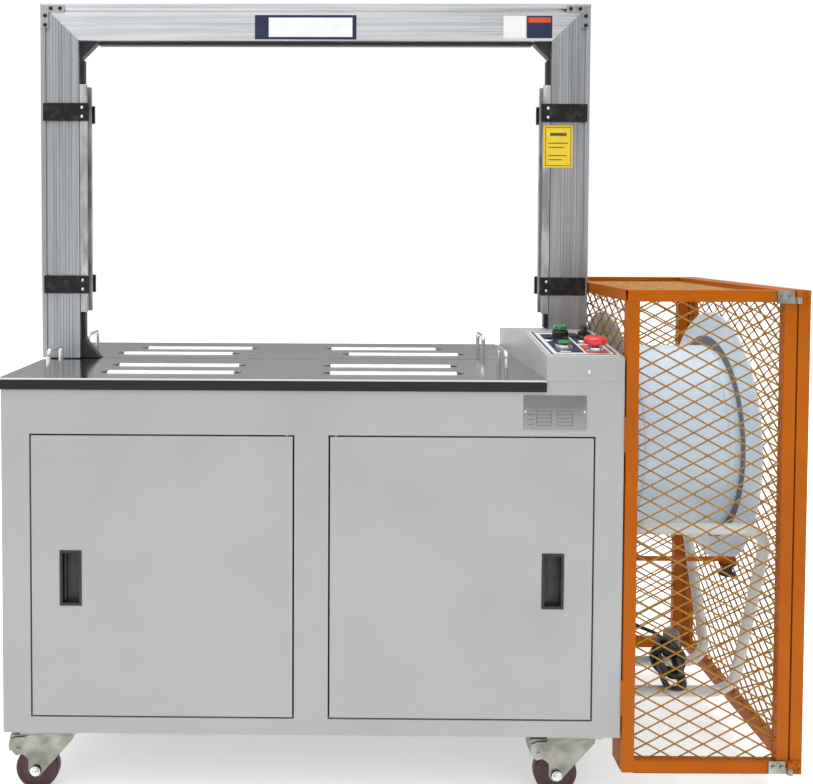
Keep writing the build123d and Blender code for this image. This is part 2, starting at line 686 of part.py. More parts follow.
def push_button(name, radius, height):
    """A push button: a cap above its collar, on a stem."""
    cap = rod((0, 0, bezel_h[name] + button_travel + 0.3), "Z", radius, height)
    cap = chamfer(cap.edges().filter_by(GeomType.CIRCLE).sort_by(Axis.Z)[-1], 1.0)
    stem = rod((0, 0, -stem_below), "Z", stem_r, stem_below + bezel_h[name] + button_travel + 1)
    return on_panel(name, cap + stem)


def mode_knob():
    """The black selector knob with its grip bar."""
    base = rod((0, 0, bezel_h["mode"] + 0.3), "Z", 11.0, 5.0)
    grip = block((-3.5, 3.5), (-11.0, 11.0), (bezel_h["mode"] + 5, bezel_h["mode"] + 17))
    stem = rod((0, 0, -stem_below), "Z", stem_r, stem_below + bezel_h["mode"] + 1)
    return on_panel("mode", base + grip + stem)


# ---------------------------------------------------------------- cage
cage_hinge_z = (cage_z[0] + 2, cage_z[1] - cage_hinge_h)


def cage_frame():
    """The fixed frame: square tubes, spacers at the cabinet and a lower gusset."""
    t = cage_tube
    w = cage_wall
    xl, xr = (cage_x[0], cage_x[0] + t), (cage_x[1] - t, cage_x[1])
    yf, yb = (cage_y[0], cage_y[0] + t), (cage_y[1] - t, cage_y[1])
    between = (xl[1], xr[0])
    top, low = (cage_z[1] - t, cage_z[1]), (cage_z[0], cage_z[0] + t)
    posts = [tube_z(x, y, (cage_z[0], top[0]), w) for x in (xl, xr) for y in (yf, yb)]
    rails = [tube_x(cage_x, y, top, w) for y in (yf, yb)]
    rails += [tube_y(x, (yf[1], yb[0]), top, w) for x in (xl, xr)]
    rails += [tube_x(between, y, low, w) for y in (yf, yb)]
    rails.append(tube_y(xl, (yf[1], yb[0]), (side_rail_z, side_rail_z + t), w))
    spacers = [block((right_side, cage_x[0]), y, (z, z + cage_spacer_h))
               for y in (yf, yb) for z in (cabinet_z + 40, top_z - 120)]
    gusset = block((cage_x[0], cage_x[0] + 4), (yf[1], yf[1] + 40), (cage_z[0], cabinet_z - 5))
    return posts + rails + spacers + [gusset]


def diamond(cx, cy, a, b, limit_x, limit_y):
    """A mesh opening round (cx, cy), cut off where the sheet's border begins."""
    corners = [(cx + a, cy), (cx, cy + b), (cx - a, cy), (cx, cy - b)]
    if cx <= 0:
        corners = [(cx + a, cy), (cx, cy + b), (cx, cy - b)]
    elif cx >= limit_x:
        corners = [(cx, cy + b), (cx - a, cy), (cx, cy - b)]
    if cy <= 0:
        corners = [(cx + a, cy), (cx, cy + b), (cx - a, cy)]
    elif cy >= limit_y:
        corners = [(cx + a, cy), (cx - a, cy), (cx, cy - b)]
    return corners


def expanded_mesh(width, height):
    """A flat expanded-metal sheet in XY with one corner at the origin."""
    grid_w, grid_h = width - 2 * mesh_border, height - 2 * mesh_border
    columns, rows = round(grid_w / mesh_long), round(grid_h / mesh_short)
    pitch_x, pitch_y = grid_w / columns, grid_h / rows
    a = pitch_x / 2 - mesh_strand * pitch_x / pitch_y / 2
    b = pitch_y / 2 - mesh_strand / 2
    holes = []
    for i in range(2 * columns + 1):
        for j in range(2 * rows + 1):
            at_corner = i in (0, 2 * columns) and j in (0, 2 * rows)
            if (i + j) % 2 or at_corner:
                continue
            points = diamond(i * pitch_x / 2, j * pitch_y / 2, a, b, grid_w, grid_h)
            moved = [(x + mesh_border, y + mesh_border, 0) for x, y in points]
            holes.append(Wire.make_polygon(moved, close=True))
    outline = Wire.make_polygon([(0, 0, 0), (width, 0, 0), (width, height, 0), (0, height, 0)], close=True)
    return extrude(Face(outline, holes), amount=mesh_t)


def cage_mesh_panels():
    """Front, back, top and left-hand mesh, each between the tubes of its side."""
    t = cage_tube
    inner_w = cage_w - 2 * t
    inner_d = cage_d - 2 * t
    low, high = cage_z[0] + t, cage_z[1] - t
    upright = Rot(90, 0, 0)
    face = expanded_mesh(inner_w, high - low)
    half = (t + mesh_t) / 2
    front = Pos(cage_x[0] + t, cage_y[0] + half, low) * upright * face
    back = Pos(cage_x[0] + t, cage_y[1] - half + mesh_t, low) * upright * face
    top = Pos(cage_x[0] + t, cage_y[0] + t, cage_z[1] - half) * expanded_mesh(inner_w, inner_d)
    left_h = high - side_rail_z - t
    side = Rot(0, 0, 90) * upright * expanded_mesh(inner_d, left_h)
    left = Pos(cage_x[0] + half - mesh_t, cage_y[0] + t, side_rail_z + t) * side
    return [front, back, top, left]


def cage_door_frame():
    """The hinged right-hand side: a tube rectangle with its two hinge leaves."""
    t = cage_tube
    w = cage_wall
    yf, yb = (cage_y[0], cage_y[0] + t), (cage_y[1] - t, cage_y[1])
    top, low = (cage_z[1] - t, cage_z[1]), (cage_z[0], cage_z[0] + t)
    parts = [tube_z(door_tube_x, y, cage_z, w) for y in (yf, yb)]
    parts += [tube_y(door_tube_x, (yf[1], yb[0]), z, w) for z in (top, low)]
    for z in cage_hinge_z:
        half = cage_hinge_h / 2
        leaf = block((hinge_axis_x, door_tube_x[1] - 2), (y0 - cage_leaf_t, y0), (z, z + cage_hinge_h))
        leaf += rod((hinge_axis_x, hinge_axis_y, z + half), "Z", cage_barrel_r, half)
        leaf -= block((hinge_axis_x - 9, hinge_axis_x + 7), (y0 - 15, y0 + 1), (z - 1, z + half))
        leaf -= rod((hinge_axis_x, hinge_axis_y, z), "Z", cage_hinge_pin_r + running_clearance, cage_hinge_h + 1)
        parts.append(leaf)
        for i in (0, 1):
            start = (door_tube_x[1] - 6, y0 - 2 * cage_leaf_t, z + half + 11 * (i - 0.5))
            parts.append(rod(start, "Y", 3.0, cage_leaf_t))
    return parts


def cage_door_mesh():
    """The door's mesh, between its tubes."""
    t = cage_tube
    low, high = cage_z[0] + t, cage_z[1] - t
    sheet = Rot(0, 0, 90) * Rot(90, 0, 0) * expanded_mesh(cage_d - 2 * t, high - low)
    return Pos(sum(door_tube_x) / 2 - mesh_t / 2, cage_y[0] + t, low) * sheet


# ---------------------------------------------------------------- reel
reel_at = (y0 + reel_y, reel_z)
drum_x = (right_side + drum_from_cabinet, right_side + drum_from_cabinet + drum_l)
shaft_end = drum_x[1] + flange_t + collar_l + 5


def reel_stand():
    """Wall plate and shaft with its end collar, and the brake arm's clevis."""
    y, z = reel_at
    half = stand_plate_w / 2
    plate = block((right_side, right_side + stand_plate_t), (y - half, y + half), (z - half, z + half))
    shaft = rod((right_side, y, z), "X", shaft_r, shaft_end - right_side)
    boss = rod((right_side, y, z), "X", hub_r, drum_from_cabinet - flange_t - 1)
    collar_x = drum_x[1] + flange_t + 1
    collar = rod((collar_x, y, z), "X", hub_r, collar_l)
    collar -= rod((collar_x - 1, y, z), "X", shaft_r, collar_l + 2)
    py = y0 + arm_y
    base = block((right_side, right_side + 5), (py - 14, py + 14), (arm_z - 16, arm_z + 16))
    ears = [block((right_side, right_side + arm_pivot_out + 7), (py + a, py + a + clevis_t), (arm_z - 8, arm_z + 8))
            for a in (-6 - clevis_t, 6)]
    pin = rod((right_side + arm_pivot_out, py - 12, arm_z), "Y", arm_pin_r, 24)
    return [plate + shaft + boss, collar, base + ears + pin]


def reel_drum():
    """The drum: a thin shell on two webs and a hub that turns on the shaft."""
    y, z = reel_at
    length = drum_x[1] - drum_x[0]
    shell = rod((drum_x[0], y, z), "X", drum_r, length)
    shell -= rod((drum_x[0] - 1, y, z), "X", drum_r - reel_wall, length + 2)
    webs = rod((drum_x[0], y, z), "X", drum_r, reel_wall)
    webs += rod((drum_x[1] - reel_wall, y, z), "X", drum_r, reel_wall)
    hub = rod((drum_x[0], y, z), "X", hub_r, length)
    return shell + webs + hub - rod((drum_x[0] - 1, y, z), "X", shaft_r + running_clearance, length + 2)


def flange_disc(inner_x, out):
    """A spun flange whose flat middle is at inner_x and whose rim flares away in the direction of out."""
    y, z = reel_at
    tip = inner_x + out * flange_flare
    thick = out * flange_t
    outline = [(inner_x, shaft_r + 0.5), (inner_x, flare_start_r), (tip, reel_r), (tip + thick, reel_r),
               (inner_x + thick, flare_start_r), (inner_x + thick, shaft_r + 0.5)]
    face = make_face(Polyline([(px, y, z + pr) for px, pr in outline], close=True))
    return revolve(face, axis=Axis((inner_x, y, z), (1, 0, 0)))


def reel_flanges():
    """The two dished flanges, screwed to the drum's ends."""
    return [flange_disc(drum_x[0], -1), flange_disc(drum_x[1], 1)]


def hoop(corners):
    """A bent tube that leaves the cabinet's side, goes round the reel and comes back."""
    (ya, za), (yb, zb) = corners
    reach = right_side + hoop_reach
    points = [(right_side, y0 + ya, za), (reach, y0 + ya, za), (reach, y0 + yb, zb), (right_side, y0 + yb, zb)]
    path = FilletPolyline(*points, radius=hoop_bend)
    section = Plane(points[0], z_dir=(1, 0, 0)) * (Circle(hoop_r) - Circle(hoop_r - hoop_wall))
    return sweep(section, path)


def brake_arm():
    """The orange arm that the strap lifts, with its guide spool."""
    py = y0 + arm_y
    start = right_side + arm_pivot_out
    bar = block((start + 6, start + arm_l), (py - 2.5, py + 2.5), (arm_z - 4, arm_z + 4))
    eye = rod((start, py - 4, arm_z), "Y", 9, 8)
    arm = bar + eye - rod((start, py - 5, arm_z), "Y", arm_pin_r + running_clearance, 10)
    tip = start + arm_l - 14
    bracket = block((tip - 12, tip + 18), (py - 8, py + 8), (arm_z - 7, arm_z - 4))
    low = arm_z - 7 - spool_h
    spool = rod((tip, py, low), "Z", spool_core_r, spool_h)
    for z in (low, low + spool_h - 3):
        spool += rod((tip, py, z), "Z", spool_r, 3)
    return [arm + bracket, spool]


# ---------------------------------------------------------------- casters
fork_top = cabinet_z - caster_plate_t - race_h  # under the swivel race


def caster_place(index):
    """Swivel axis X and Y of casters 0 to 3: front left, front right, rear left, rear right."""
    x = x0 + caster_inset if index % 2 == 0 else right_side - caster_inset
    y = y0 + caster_from_front if index < 2 else y0 + table_d - caster_from_front
    return x, y


def caster_plate(index):
    """A top plate with four bolt heads' room and, on the swivel casters, race and kingpin."""
    x, y = caster_place(index)
    plate = block((x - 48, x + 48), (y - 37, y + 37), (cabinet_z - caster_plate_t, cabinet_z))
    race = rod((x, y, fork_top + race_gap), "Z", race_r, race_h - race_gap)
    pin = rod((x, y, fork_top - 8), "Z", kingpin_r, cabinet_z - fork_top + 8 - caster_plate_t)
    return plate + race + pin


def caster_fork(index):
    """A pressed fork with its axle bolt; the front ones carry a brake pedal."""
    x, y = caster_place(index)
    ax = x - caster_trail
    half = wheel_w / 2 + side_gap
    top = fork_top
    outline = [(ax - 45, top), (x + 40, top), (x + 40, top - 6), (ax + 13, axle_z - 3), (ax + 7, axle_z - 11),
               (ax - 7, axle_z - 11), (ax - 13, axle_z - 2), (ax - 14, axle_z + 24), (ax - 24, axle_z + 33),
               (ax - 40, axle_z + 36)]
    fork = block((ax - 45, x + 40), (y - half - fork_t, y + half + fork_t), (top - fork_t, top))
    for start in (y - half - fork_t, y + half):
        fork += plate_xz(outline, (start, start + fork_t))
    if index < 2:
        fork -= rod((x, y, top - 10), "Z", kingpin_r + running_clearance, 12)
    axle = rod((ax, y - half - fork_t, axle_z), "Y", axle_r, 2 * (half + fork_t))
    heads = [rod((ax, start, axle_z), "Y", axle_head_r, axle_head_h)
             for start in (y - half - fork_t - axle_head_h, y + half + fork_t)]
    return fork + axle + heads


def brake_pedal(index):
    """The stamped pedal that hooks over a swivel fork's trailing end."""
    x, y = caster_place(index)
    ax = x - caster_trail
    top = fork_top
    width = (y - pedal_w / 2, y + pedal_w / 2)
    flat = block((ax - 47, ax - 2), width, (top, top + pedal_t))
    lip = block((ax - 47, ax - 47 + pedal_t), width, (top + pedal_t, top + 3 * pedal_t))
    return flat + lip


def wheel(index):
    """A wheel with a crowned tread, turning on the fork's axle."""
    x, y = caster_place(index)
    ax = x - caster_trail
    tyre = rod((ax, y - wheel_w / 2, axle_z), "Y", wheel_r, wheel_w)
    tyre = fillet(tyre.edges().filter_by(GeomType.CIRCLE), 3.0)
    hub = rod((ax, y - wheel_w / 2 - 2, axle_z), "Y", 11, wheel_w + 4)
    return tyre + hub - rod((ax, y - wheel_w, axle_z), "Y", axle_r + running_clearance, 2 * wheel_w)


# ---------------------------------------------------------------- works inside
def sealing_head():
    """Two side plates with spacers, an anvil block on top and hangers to the deck."""
    x = (x0 + head_x[0], x0 + head_x[1])
    top = plate_under - head_top_gap
    plates = [block(x, (seam_y - head_half_d, seam_y - head_half_d + head_plate_t), (head_bottom, top)),
              block(x, (seam_y + head_half_d - head_plate_t, seam_y + head_half_d), (head_bottom, top))]
    inner = (seam_y - head_half_d + head_plate_t, seam_y + head_half_d - head_plate_t)
    anvil = block((x[0] + 20, x[0] + 90), inner, (top - 40, top))
    spacer = block((x[0] + 5, x[0] + 25), inner, (head_bottom + 5, head_bottom + 25))
    hanger_z = (deck_z - deck_t - 24, deck_z - deck_t)
    hangers = [block(side, (seam_y - 40, seam_y + 40), hanger_z)
               for side in ((x[0] - 15, x[0]), (x[1], x[1] + 15))]
    head = plates[0] + plates[1] + anvil + spacer + hangers
    for fx in (feed_x, pinch_x):
        head -= rod((fx, seam_y - 80, feed_z), "Y", feed_shaft_r + running_clearance, 160)
    return head


feed_x = x0 + head_x[1] - 100
pinch_x = feed_x + feed_r + feed_nip + pinch_r
feed_z = head_bottom + 45.0


def feed_roller(x, radius):
    """A feed roller on its shaft, between the head's plates."""
    inner = 2 * (head_half_d - head_plate_t) - 2
    body = rod((x, seam_y - inner / 2, feed_z), "Y", radius, inner)
    length = 2 * head_half_d + 10
    return body + rod((x, seam_y - length / 2, feed_z), "Y", feed_shaft_r, length)


def drive_motor():
    """The geared motor, bolted behind the head."""
    x = feed_x - feed_shaft_r - 12 - gearbox_half
    z = head_bottom + motor_r + 10
    y = seam_y + head_half_d
    gearbox = block((x - gearbox_half, x + gearbox_half), (y, y + 60), (z - gearbox_half, z + gearbox_half))
    return gearbox + rod((x, y + 60, z), "Y", motor_r, motor_l - 20)


def strap_pool_box():
    """The thin sheet-metal box, open at the top, that stores loose strap."""
    x = (x0 + pool_x[0], x0 + pool_x[1])
    y = (y0 + pool_y[0], y0 + pool_y[1])
    z = (floor_top, floor_top + pool_h)
    inner = block((x[0] + sheet_t, x[1] - sheet_t), (y[0] + sheet_t, y[1] - sheet_t), (z[0] + sheet_t, z[1] + 1))
    return block(x, y, z) - inner


# ---------------------------------------------------------------- power cord
cord_start = (right_side + gland_l, y0 + cord_exit_y, cord_exit_z)
hank_z = near_hoop[1][1] + hoop_r + hank_rz + 0.3
hank_far = (right_side + 178.0, y0 + 334.0, hank_z)
hank_near = (right_side + 130.0, y0 + 98.0, hank_z)
cord_points = [cord_start, (right_side + 70.0, y0 + 430.0, 172.0), (right_side + 106.0, y0 + 428.0, 162.0),
               (right_side + 142.0, y0 + 420.0, 150.5), (right_side + 171.0, y0 + 401.0, 144.5),
               (right_side + 185.6, y0 + 371.2, hank_z), hank_far]


def gland():
    """The strain relief: a nut on the cabinet's side and a tapered sleeve."""
    x, y, z = right_side, y0 + cord_exit_y, cord_exit_z
    nut = rod((x, y, z), "X", gland_nut_r, gland_nut_l)
    thread = rod((x - sheet_t - 4, y, z), "X", gland_thread_r, sheet_t + 4)
    sleeve_l = gland_l - gland_nut_l
    sleeve = Pos(x + gland_nut_l + sleeve_l / 2, y, z) * Rot(0, 90, 0) * Cone(2 * cord_r, cord_r + 1.5, sleeve_l)
    return nut + thread + sleeve


def corner_radii(points):
    """The largest radius that the two runs beside each corner allow."""
    radii = []
    for a, b, c in zip(points, points[1:], points[2:]):
        run_in, run_out = Vector(*b) - Vector(*a), Vector(*c) - Vector(*b)
        turn = math.radians(run_in.get_angle(run_out))
        radii.append(0.45 * min(run_in.length, run_out.length) / math.tan(turn / 2))
    return radii


def cord_tube():
    """The lead from the strain relief to the hank: straight runs joined by arcs."""
    radii = corner_radii(cord_points)
    print("cord radii", [round(r) for r in radii])
    path = FilletPolyline(*cord_points, radius=radii)
    start = Vector(*cord_points[1]) - Vector(*cord_points[0])
    tube = sweep(Plane(cord_points[0], z_dir=start) * Circle(cord_r), path)
    print("cord volume over section times length", round(tube.volume / (math.pi * cord_r ** 2 * path.length), 4))
    return tube


def hank_frame():
    """A plane at the hank's far end, looking along the hank towards its near end."""
    along = Vector(*hank_near) - Vector(*hank_far)
    return Plane(hank_far, x_dir=along.cross(Vector(0, 0, 1)), z_dir=along), along.length


def cord_hank():
    """The wound hank's outer shape, thickest in its middle."""
    plane, length = hank_frame()
    sections = [(0.0, 0.80), (0.12, 0.97), (0.5, 1.0), (0.85, 0.90), (1.0, 0.55)]
    faces = [plane.offset(length * t) * Ellipse(hank_rx * s, hank_rz * s) for t, s in sections]
    return loft(faces, ruled=True)


def cord_plug():
    """The moulded plug, standing out of the hank's far end."""
    plane, _ = hank_frame()
    body = fillet(Box(plug_size[0], plug_size[2], plug_size[1]).edges(), 5.0)
    pins = [Pos(dx, 0, -(plug_size[1] + plug_pin_l) / 2) * Cylinder(plug_pin_r, plug_pin_l)
            for dx in (-plug_pin_gap / 2, plug_pin_gap / 2)]
    return plane.location * Pos(-plug_aside, 0, -plug_size[1] / 2) * (body + pins)


# ---------------------------------------------------------------- write the sub-parts
save("cabinet_front_frame", front_frame())
save("cabinet_left_panel", side_panel((x0, x0 + sheet_t)))
save("cabinet_right_panel", right_side_panel())
save("cabinet_back_panel", back_panel())
save("cabinet_floor", floor_plate())
save("cabinet_deck", deck())
for side, name in enumerate(("left", "right")):
    save(f"{name}_door", door(side))
    save(f"{name}_door_pull", door_pull(side))
save("hinge_hardware", *hinge_hardware())
for index, name in enumerate(("front", "rear")):
    save(f"table_{name}_plate", table_plate(index))
    save(f"{name}_plate_handles", *plate_handles(index))
for row in range(4):
    save(f"table_rollers_{row + 1}", *roller_row(row))
save("arch_left_leg", arch_leg(0))
save("arch_right_leg", arch_leg(1))
save("arch_top_beam", arch_beam())
save("arch_corner_plates", *corner_plates())
save("arch_bolts", *arch_bolts())
save("strap_guides", *strap_guides())
save("guard_bars", *guard_bars())
save("guard_clamps", *guard_clamps())
save("console_housing", console_housing())
save("console_panel", console_panel())
save("console_rear_cover", rear_cover())
save("control_bezels", *bezels())
save("estop_button", estop_button())
save("power_button", push_button("power", 12.0, 7.0))
save("feed_button", push_button("feed", 11.5, 3.0))
save("mode_knob", mode_knob())
save("cage_frame", *cage_frame())
save("cage_mesh_panels", *cage_mesh_panels())
save("cage_door_frame", *cage_door_frame())
save("cage_door_mesh", cage_door_mesh())
save("reel_stand", *reel_stand())
save("reel_drum", reel_drum())
save("reel_flanges", *reel_flanges())
save("reel_guard_hoops", hoop(near_hoop), hoop(far_hoop))
save("brake_arm", *brake_arm())
save("caster_mounts", *[caster_plate(i) for i in range(2)],
     *[caster_plate(i) + caster_fork(i) for i in (2, 3)])
save("front_left_fork", caster_fork(0), brake_pedal(0))
save("front_right_fork", caster_fork(1), brake_pedal(1))
for i, name in enumerate(("front_left", "front_right", "rear_left", "rear_right")):
    save(f"{name}_wheel", wheel(i))
save("sealing_head", sealing_head())
save("feed_roller", feed_roller(feed_x, feed_r))
save("pinch_roller", feed_roller(pinch_x, pinch_r))
save("drive_motor", drive_motor())
save("strap_pool_box", strap_pool_box())
save("cord_gland", gland())
save("power_cord", cord_tube())
save("cord_hank", cord_hank())
save("cord_plug", cord_plug())
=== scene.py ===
import bmesh
import bpy
import json
import math
from mathutils import Matrix, Vector


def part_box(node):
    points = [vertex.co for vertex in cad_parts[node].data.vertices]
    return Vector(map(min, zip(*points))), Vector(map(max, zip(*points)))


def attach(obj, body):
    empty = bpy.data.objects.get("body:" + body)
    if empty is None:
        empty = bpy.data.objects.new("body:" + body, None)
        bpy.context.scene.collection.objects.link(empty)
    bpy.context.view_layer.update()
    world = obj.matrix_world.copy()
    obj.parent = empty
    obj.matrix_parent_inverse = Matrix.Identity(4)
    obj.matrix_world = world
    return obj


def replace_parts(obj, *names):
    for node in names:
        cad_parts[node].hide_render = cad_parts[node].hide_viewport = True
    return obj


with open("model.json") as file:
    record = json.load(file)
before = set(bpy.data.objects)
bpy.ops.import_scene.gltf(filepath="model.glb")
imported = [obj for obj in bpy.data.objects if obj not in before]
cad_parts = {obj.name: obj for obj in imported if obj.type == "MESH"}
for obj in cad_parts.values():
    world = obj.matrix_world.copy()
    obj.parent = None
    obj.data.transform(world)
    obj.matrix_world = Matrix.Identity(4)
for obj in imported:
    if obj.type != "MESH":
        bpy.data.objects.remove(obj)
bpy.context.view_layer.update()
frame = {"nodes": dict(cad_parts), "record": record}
NODES = frame["nodes"]
MM = 0.001

# ---------------------------------------------------------------- studio
# A pale floor and a bright, even studio round the machine. The light comes mostly from above,
# as under a row of ceiling lamps, so that upright sheet metal is a shade darker than its surroundings.


def new_finish(name, **sockets):
    """A material, its node tree and its shader, with plain values on the named sockets."""
    finish = bpy.data.materials.new(name)
    finish.use_nodes = True
    shader = finish.node_tree.nodes["Principled BSDF"]
    for socket, value in sockets.items():
        shader.inputs[socket.replace("_", " ")].default_value = value
    return finish, finish.node_tree, shader


def any_node(tree, kind, links=None, **values):
    """One node: values set its properties, links its inputs, from a number or another output."""
    made = tree.nodes.new(kind)
    for key, value in values.items():
        setattr(made, key, value)
    for key, value in (links or {}).items():
        if isinstance(value, bpy.types.NodeSocket):
            tree.links.new(value, made.inputs[key])
        else:
            made.inputs[key].default_value = value
    return made


def node(tree, kind, links=None, **values):
    """One shader node."""
    return any_node(tree, "ShaderNode" + kind, links, **values)


def noise(tree, scale, detail=3.0, stretch=(1, 1, 1)):
    """Soft noise over the object's own coordinates, about scale patches to the metre."""
    place = node(tree, "TexCoord").outputs["Object"]
    place = node(tree, "Mapping", {"Vector": place, "Scale": stretch}).outputs["Vector"]
    return node(tree, "TexNoise", {"Vector": place, "Scale": scale, "Detail": detail}).outputs["Fac"]


def ramp(tree, value, low, high, out_low=0.0, out_high=1.0):
    """Maps low..high of a value to out_low..out_high, and holds it outside."""
    return node(tree, "MapRange", {"Value": value, "From Min": low, "From Max": high,
                                   "To Min": out_low, "To Max": out_high}).outputs["Result"]


def blend_colours(tree, share, first, second):
    """A colour between first and second."""
    mix = node(tree, "Mix", data_type="RGBA")
    for slot, value in ((0, share), (6, first), (7, second)):
        if isinstance(value, bpy.types.NodeSocket):
            tree.links.new(value, mix.inputs[slot])
        else:
            mix.inputs[slot].default_value = value
    return mix.outputs[2]


def relief(tree, shader, height, distance, strength=1.0):
    """Raises the surface by a height pattern, in metres."""
    bump = node(tree, "Bump", {"Height": height, "Distance": distance, "Strength": strength})
    tree.links.new(bump.outputs["Normal"], shader.inputs["Normal"])


def height_above(tree, axis="Z"):
    """The object coordinate along one axis."""
    place = node(tree, "TexCoord").outputs["Object"]
    return node(tree, "SeparateXYZ", {"Vector": place}).outputs[axis]


def floor_finish():
    """Pale, slightly mottled studio floor."""
    finish, tree, shader = new_finish("studio_floor", Roughness=0.6, Emission_Color=(1, 1, 1, 1),
                                      Emission_Strength=0.42)
    cloud = ramp(tree, noise(tree, 1.3), 0.3, 0.7)
    colour = blend_colours(tree, cloud, (0.80, 0.80, 0.80, 1), (0.84, 0.84, 0.835, 1))
    tree.links.new(colour, shader.inputs["Base Color"])
    return finish


bpy.ops.mesh.primitive_plane_add(size=24, location=(0, 3, 0))
floor = bpy.context.object
floor.name = "studio_floor"
floor.data.materials.append(floor_finish())

world = bpy.data.worlds.new("studio")
bpy.context.scene.world = world
world.use_nodes = True
sky = world.node_tree
backdrop = sky.nodes["Background"]
upward = node(sky, "SeparateXYZ", {"Vector": node(sky, "TexCoord").outputs["Generated"]}).outputs["Z"]
ceiling = ramp(sky, upward, 0.0, 0.85, 0.18, 1.55)
seen_direct = node(sky, "LightPath").outputs["Is Camera Ray"]
level = node(sky, "Mix", {0: seen_direct, 2: ceiling, 3: 1.0}, data_type="FLOAT").outputs[0]
backdrop.inputs["Color"].default_value = (1.0, 1.0, 1.0, 1)
sky.links.new(level, backdrop.inputs["Strength"])


def soft_lamp(name, place, aim, size, power):
    """A large square studio lamp."""
    data = bpy.data.lights.new(name, "AREA")
    data.size = size
    data.energy = power
    lamp = bpy.data.objects.new(name, data)
    lamp.location = place
    lamp.rotation_euler = (Vector(aim) - Vector(place)).to_track_quat("-Z", "Y").to_euler()
    bpy.context.scene.collection.objects.link(lamp)


soft_lamp("ceiling_lamp", (-0.6, -0.6, 3.6), (0.1, 0, 0.5), 2.6, 54)
soft_lamp("front_lamp", (-2.4, -3.4, 2.2), (0, 0, 0.6), 2.0, 5)

eye = bpy.data.cameras.new("eye")
eye.lens, eye.sensor_width = 44.28, 36.0
eye.shift_x, eye.shift_y = 0.0975, -0.1481
camera = bpy.data.objects.new("eye", eye)
camera.location = (-0.1067, -1.9647, 0.973)
camera.rotation_euler = (math.radians(90 - 2.05), math.radians(-0.2), math.radians(0.65))
bpy.context.scene.collection.objects.link(camera)
bpy.context.scene.camera = camera
bpy.context.scene.view_settings.view_transform = "Standard"

# ---------------------------------------------------------------- power cord
# Three metres of round black cable. It leaves the cabinet's right side through a strain relief, and
# the rest is folded into a hank of long loops with three turns round its middle, lying on the hoops.

CORD_D = 0.008
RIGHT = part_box("cabinet_right_panel")[1].x
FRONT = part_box("table_front_plate")[0].y


def beside_cabinet(x, y, z):
    """A point in millimetres from the cabinet's right side and the table's front edge."""
    return Vector((RIGHT + x * MM, FRONT + y * MM, z * MM))


cord_exit = beside_cabinet(34.0, 430.0, 172.0)
hank_far = beside_cabinet(178.0, 334.0, 146.3)
hank_near = beside_cabinet(130.0, 98.0, 146.3)
lead = [cord_exit, beside_cabinet(70.0, 430.0, 172.0), beside_cabinet(106.0, 428.0, 162.0),
        beside_cabinet(142.0, 420.0, 150.5), beside_cabinet(171.0, 401.0, 144.5),
        beside_cabinet(185.6, 371.2, 146.3), hank_far]
hank_run = (hank_near - hank_far).normalized()
hank_side = hank_run.cross(Vector((0, 0, 1)))


def in_hank(along, aside, up):
    """A point in millimetres from the hank's far end."""
    return hank_far + (hank_run * along + hank_side * aside + Vector((0, 0, up))) * MM


def loop_points(near, far, half_width, up, next_up, wobble):
    """One long loop of the hank: down one side, round the near end, and back round the far end."""
    points = []
    for step in range(12):
        angle = math.radians(90 - 30 * step)
        reach, width = math.cos(angle), math.sin(angle)
        along = (near + far) / 2 + (near - far) / 2 * math.copysign(abs(reach) ** 0.5, reach)
        aside = half_width * math.copysign(abs(width) ** 0.6, width)
        rise = up + (next_up - up) * step / 12 + wobble * math.sin(2.3 * step)
        points.append(in_hank(along, aside, rise))
    return points


def hank_points():
    """The loops, from the bottom one up, then three turns round them and the way back to the plug."""
    loops = [(188, 20, 15, -14), (205, 17, 19, -7), (222, 15, 21, 0), (238, 18, 19, 7), (200, 22, 15, 14)]
    points = [in_hank(22, 5, -6), in_hank(50, 12, -12)]
    for place, (near, far, half_width, up) in enumerate(loops):
        next_up = loops[place + 1][3] if place + 1 < len(loops) else up
        points += loop_points(near, far, half_width, up, next_up, 0.8)
    points += [in_hank(104, 20, 15)]
    for step in range(37):
        angle = math.radians(60 - 30 * step)
        points.append(in_hank(66 + 1.15 * step, 29 * math.cos(angle), 23 * math.sin(angle)))
    points += [in_hank(96, -31, 3), in_hank(70, -34, 4), in_hank(40, -32, 3), in_hank(18, -25, 1),
               in_hank(6, -21.5, 0), in_hank(0.5, -21, 0)]
    return points


EVEN = (1, 1, 1)


def patches(tree, scale, detail=3.0, stretch=EVEN, *span):
    """Noise as it comes, or mapped by a span of low, high and what they become."""
    value = noise(tree, scale, detail, stretch)
    return ramp(tree, value, *span) if span else value


def surface(name, tone, dark, light, rough=None, grain=None, **sockets):
    """A finish between two colours; tone, rough and grain are patches, a grain's last value is its depth."""
    finish, tree, shader = new_finish(name, **sockets)
    colour = blend_colours(tree, patches(tree, *tone), (*dark, 1), (*light, 1))
    tree.links.new(colour, shader.inputs["Base Color"])
    if rough:
        tree.links.new(patches(tree, *rough), shader.inputs["Roughness"])
    if grain:
        relief(tree, shader, patches(tree, *grain[:-1]), grain[-1])
    return finish


def settle(piece, slot, body="root", *cad_nodes):
    """Says which CAD nodes a piece stands for and which body it rides; the material slot argument is not
    used.
    """
    if cad_nodes:
        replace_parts(piece, *cad_nodes)
    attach(piece, body)
    return piece


# Black rubber-like jacket with a slight bloom.
CABLE = surface("cable_jacket", (60, 4, EVEN, 0.35, 0.75), (0.010, 0.010, 0.011), (0.030, 0.030, 0.031),
                (150, 3, EVEN, 0.3, 0.7, 0.38, 0.55), (900, 3, EVEN, 0.00008))


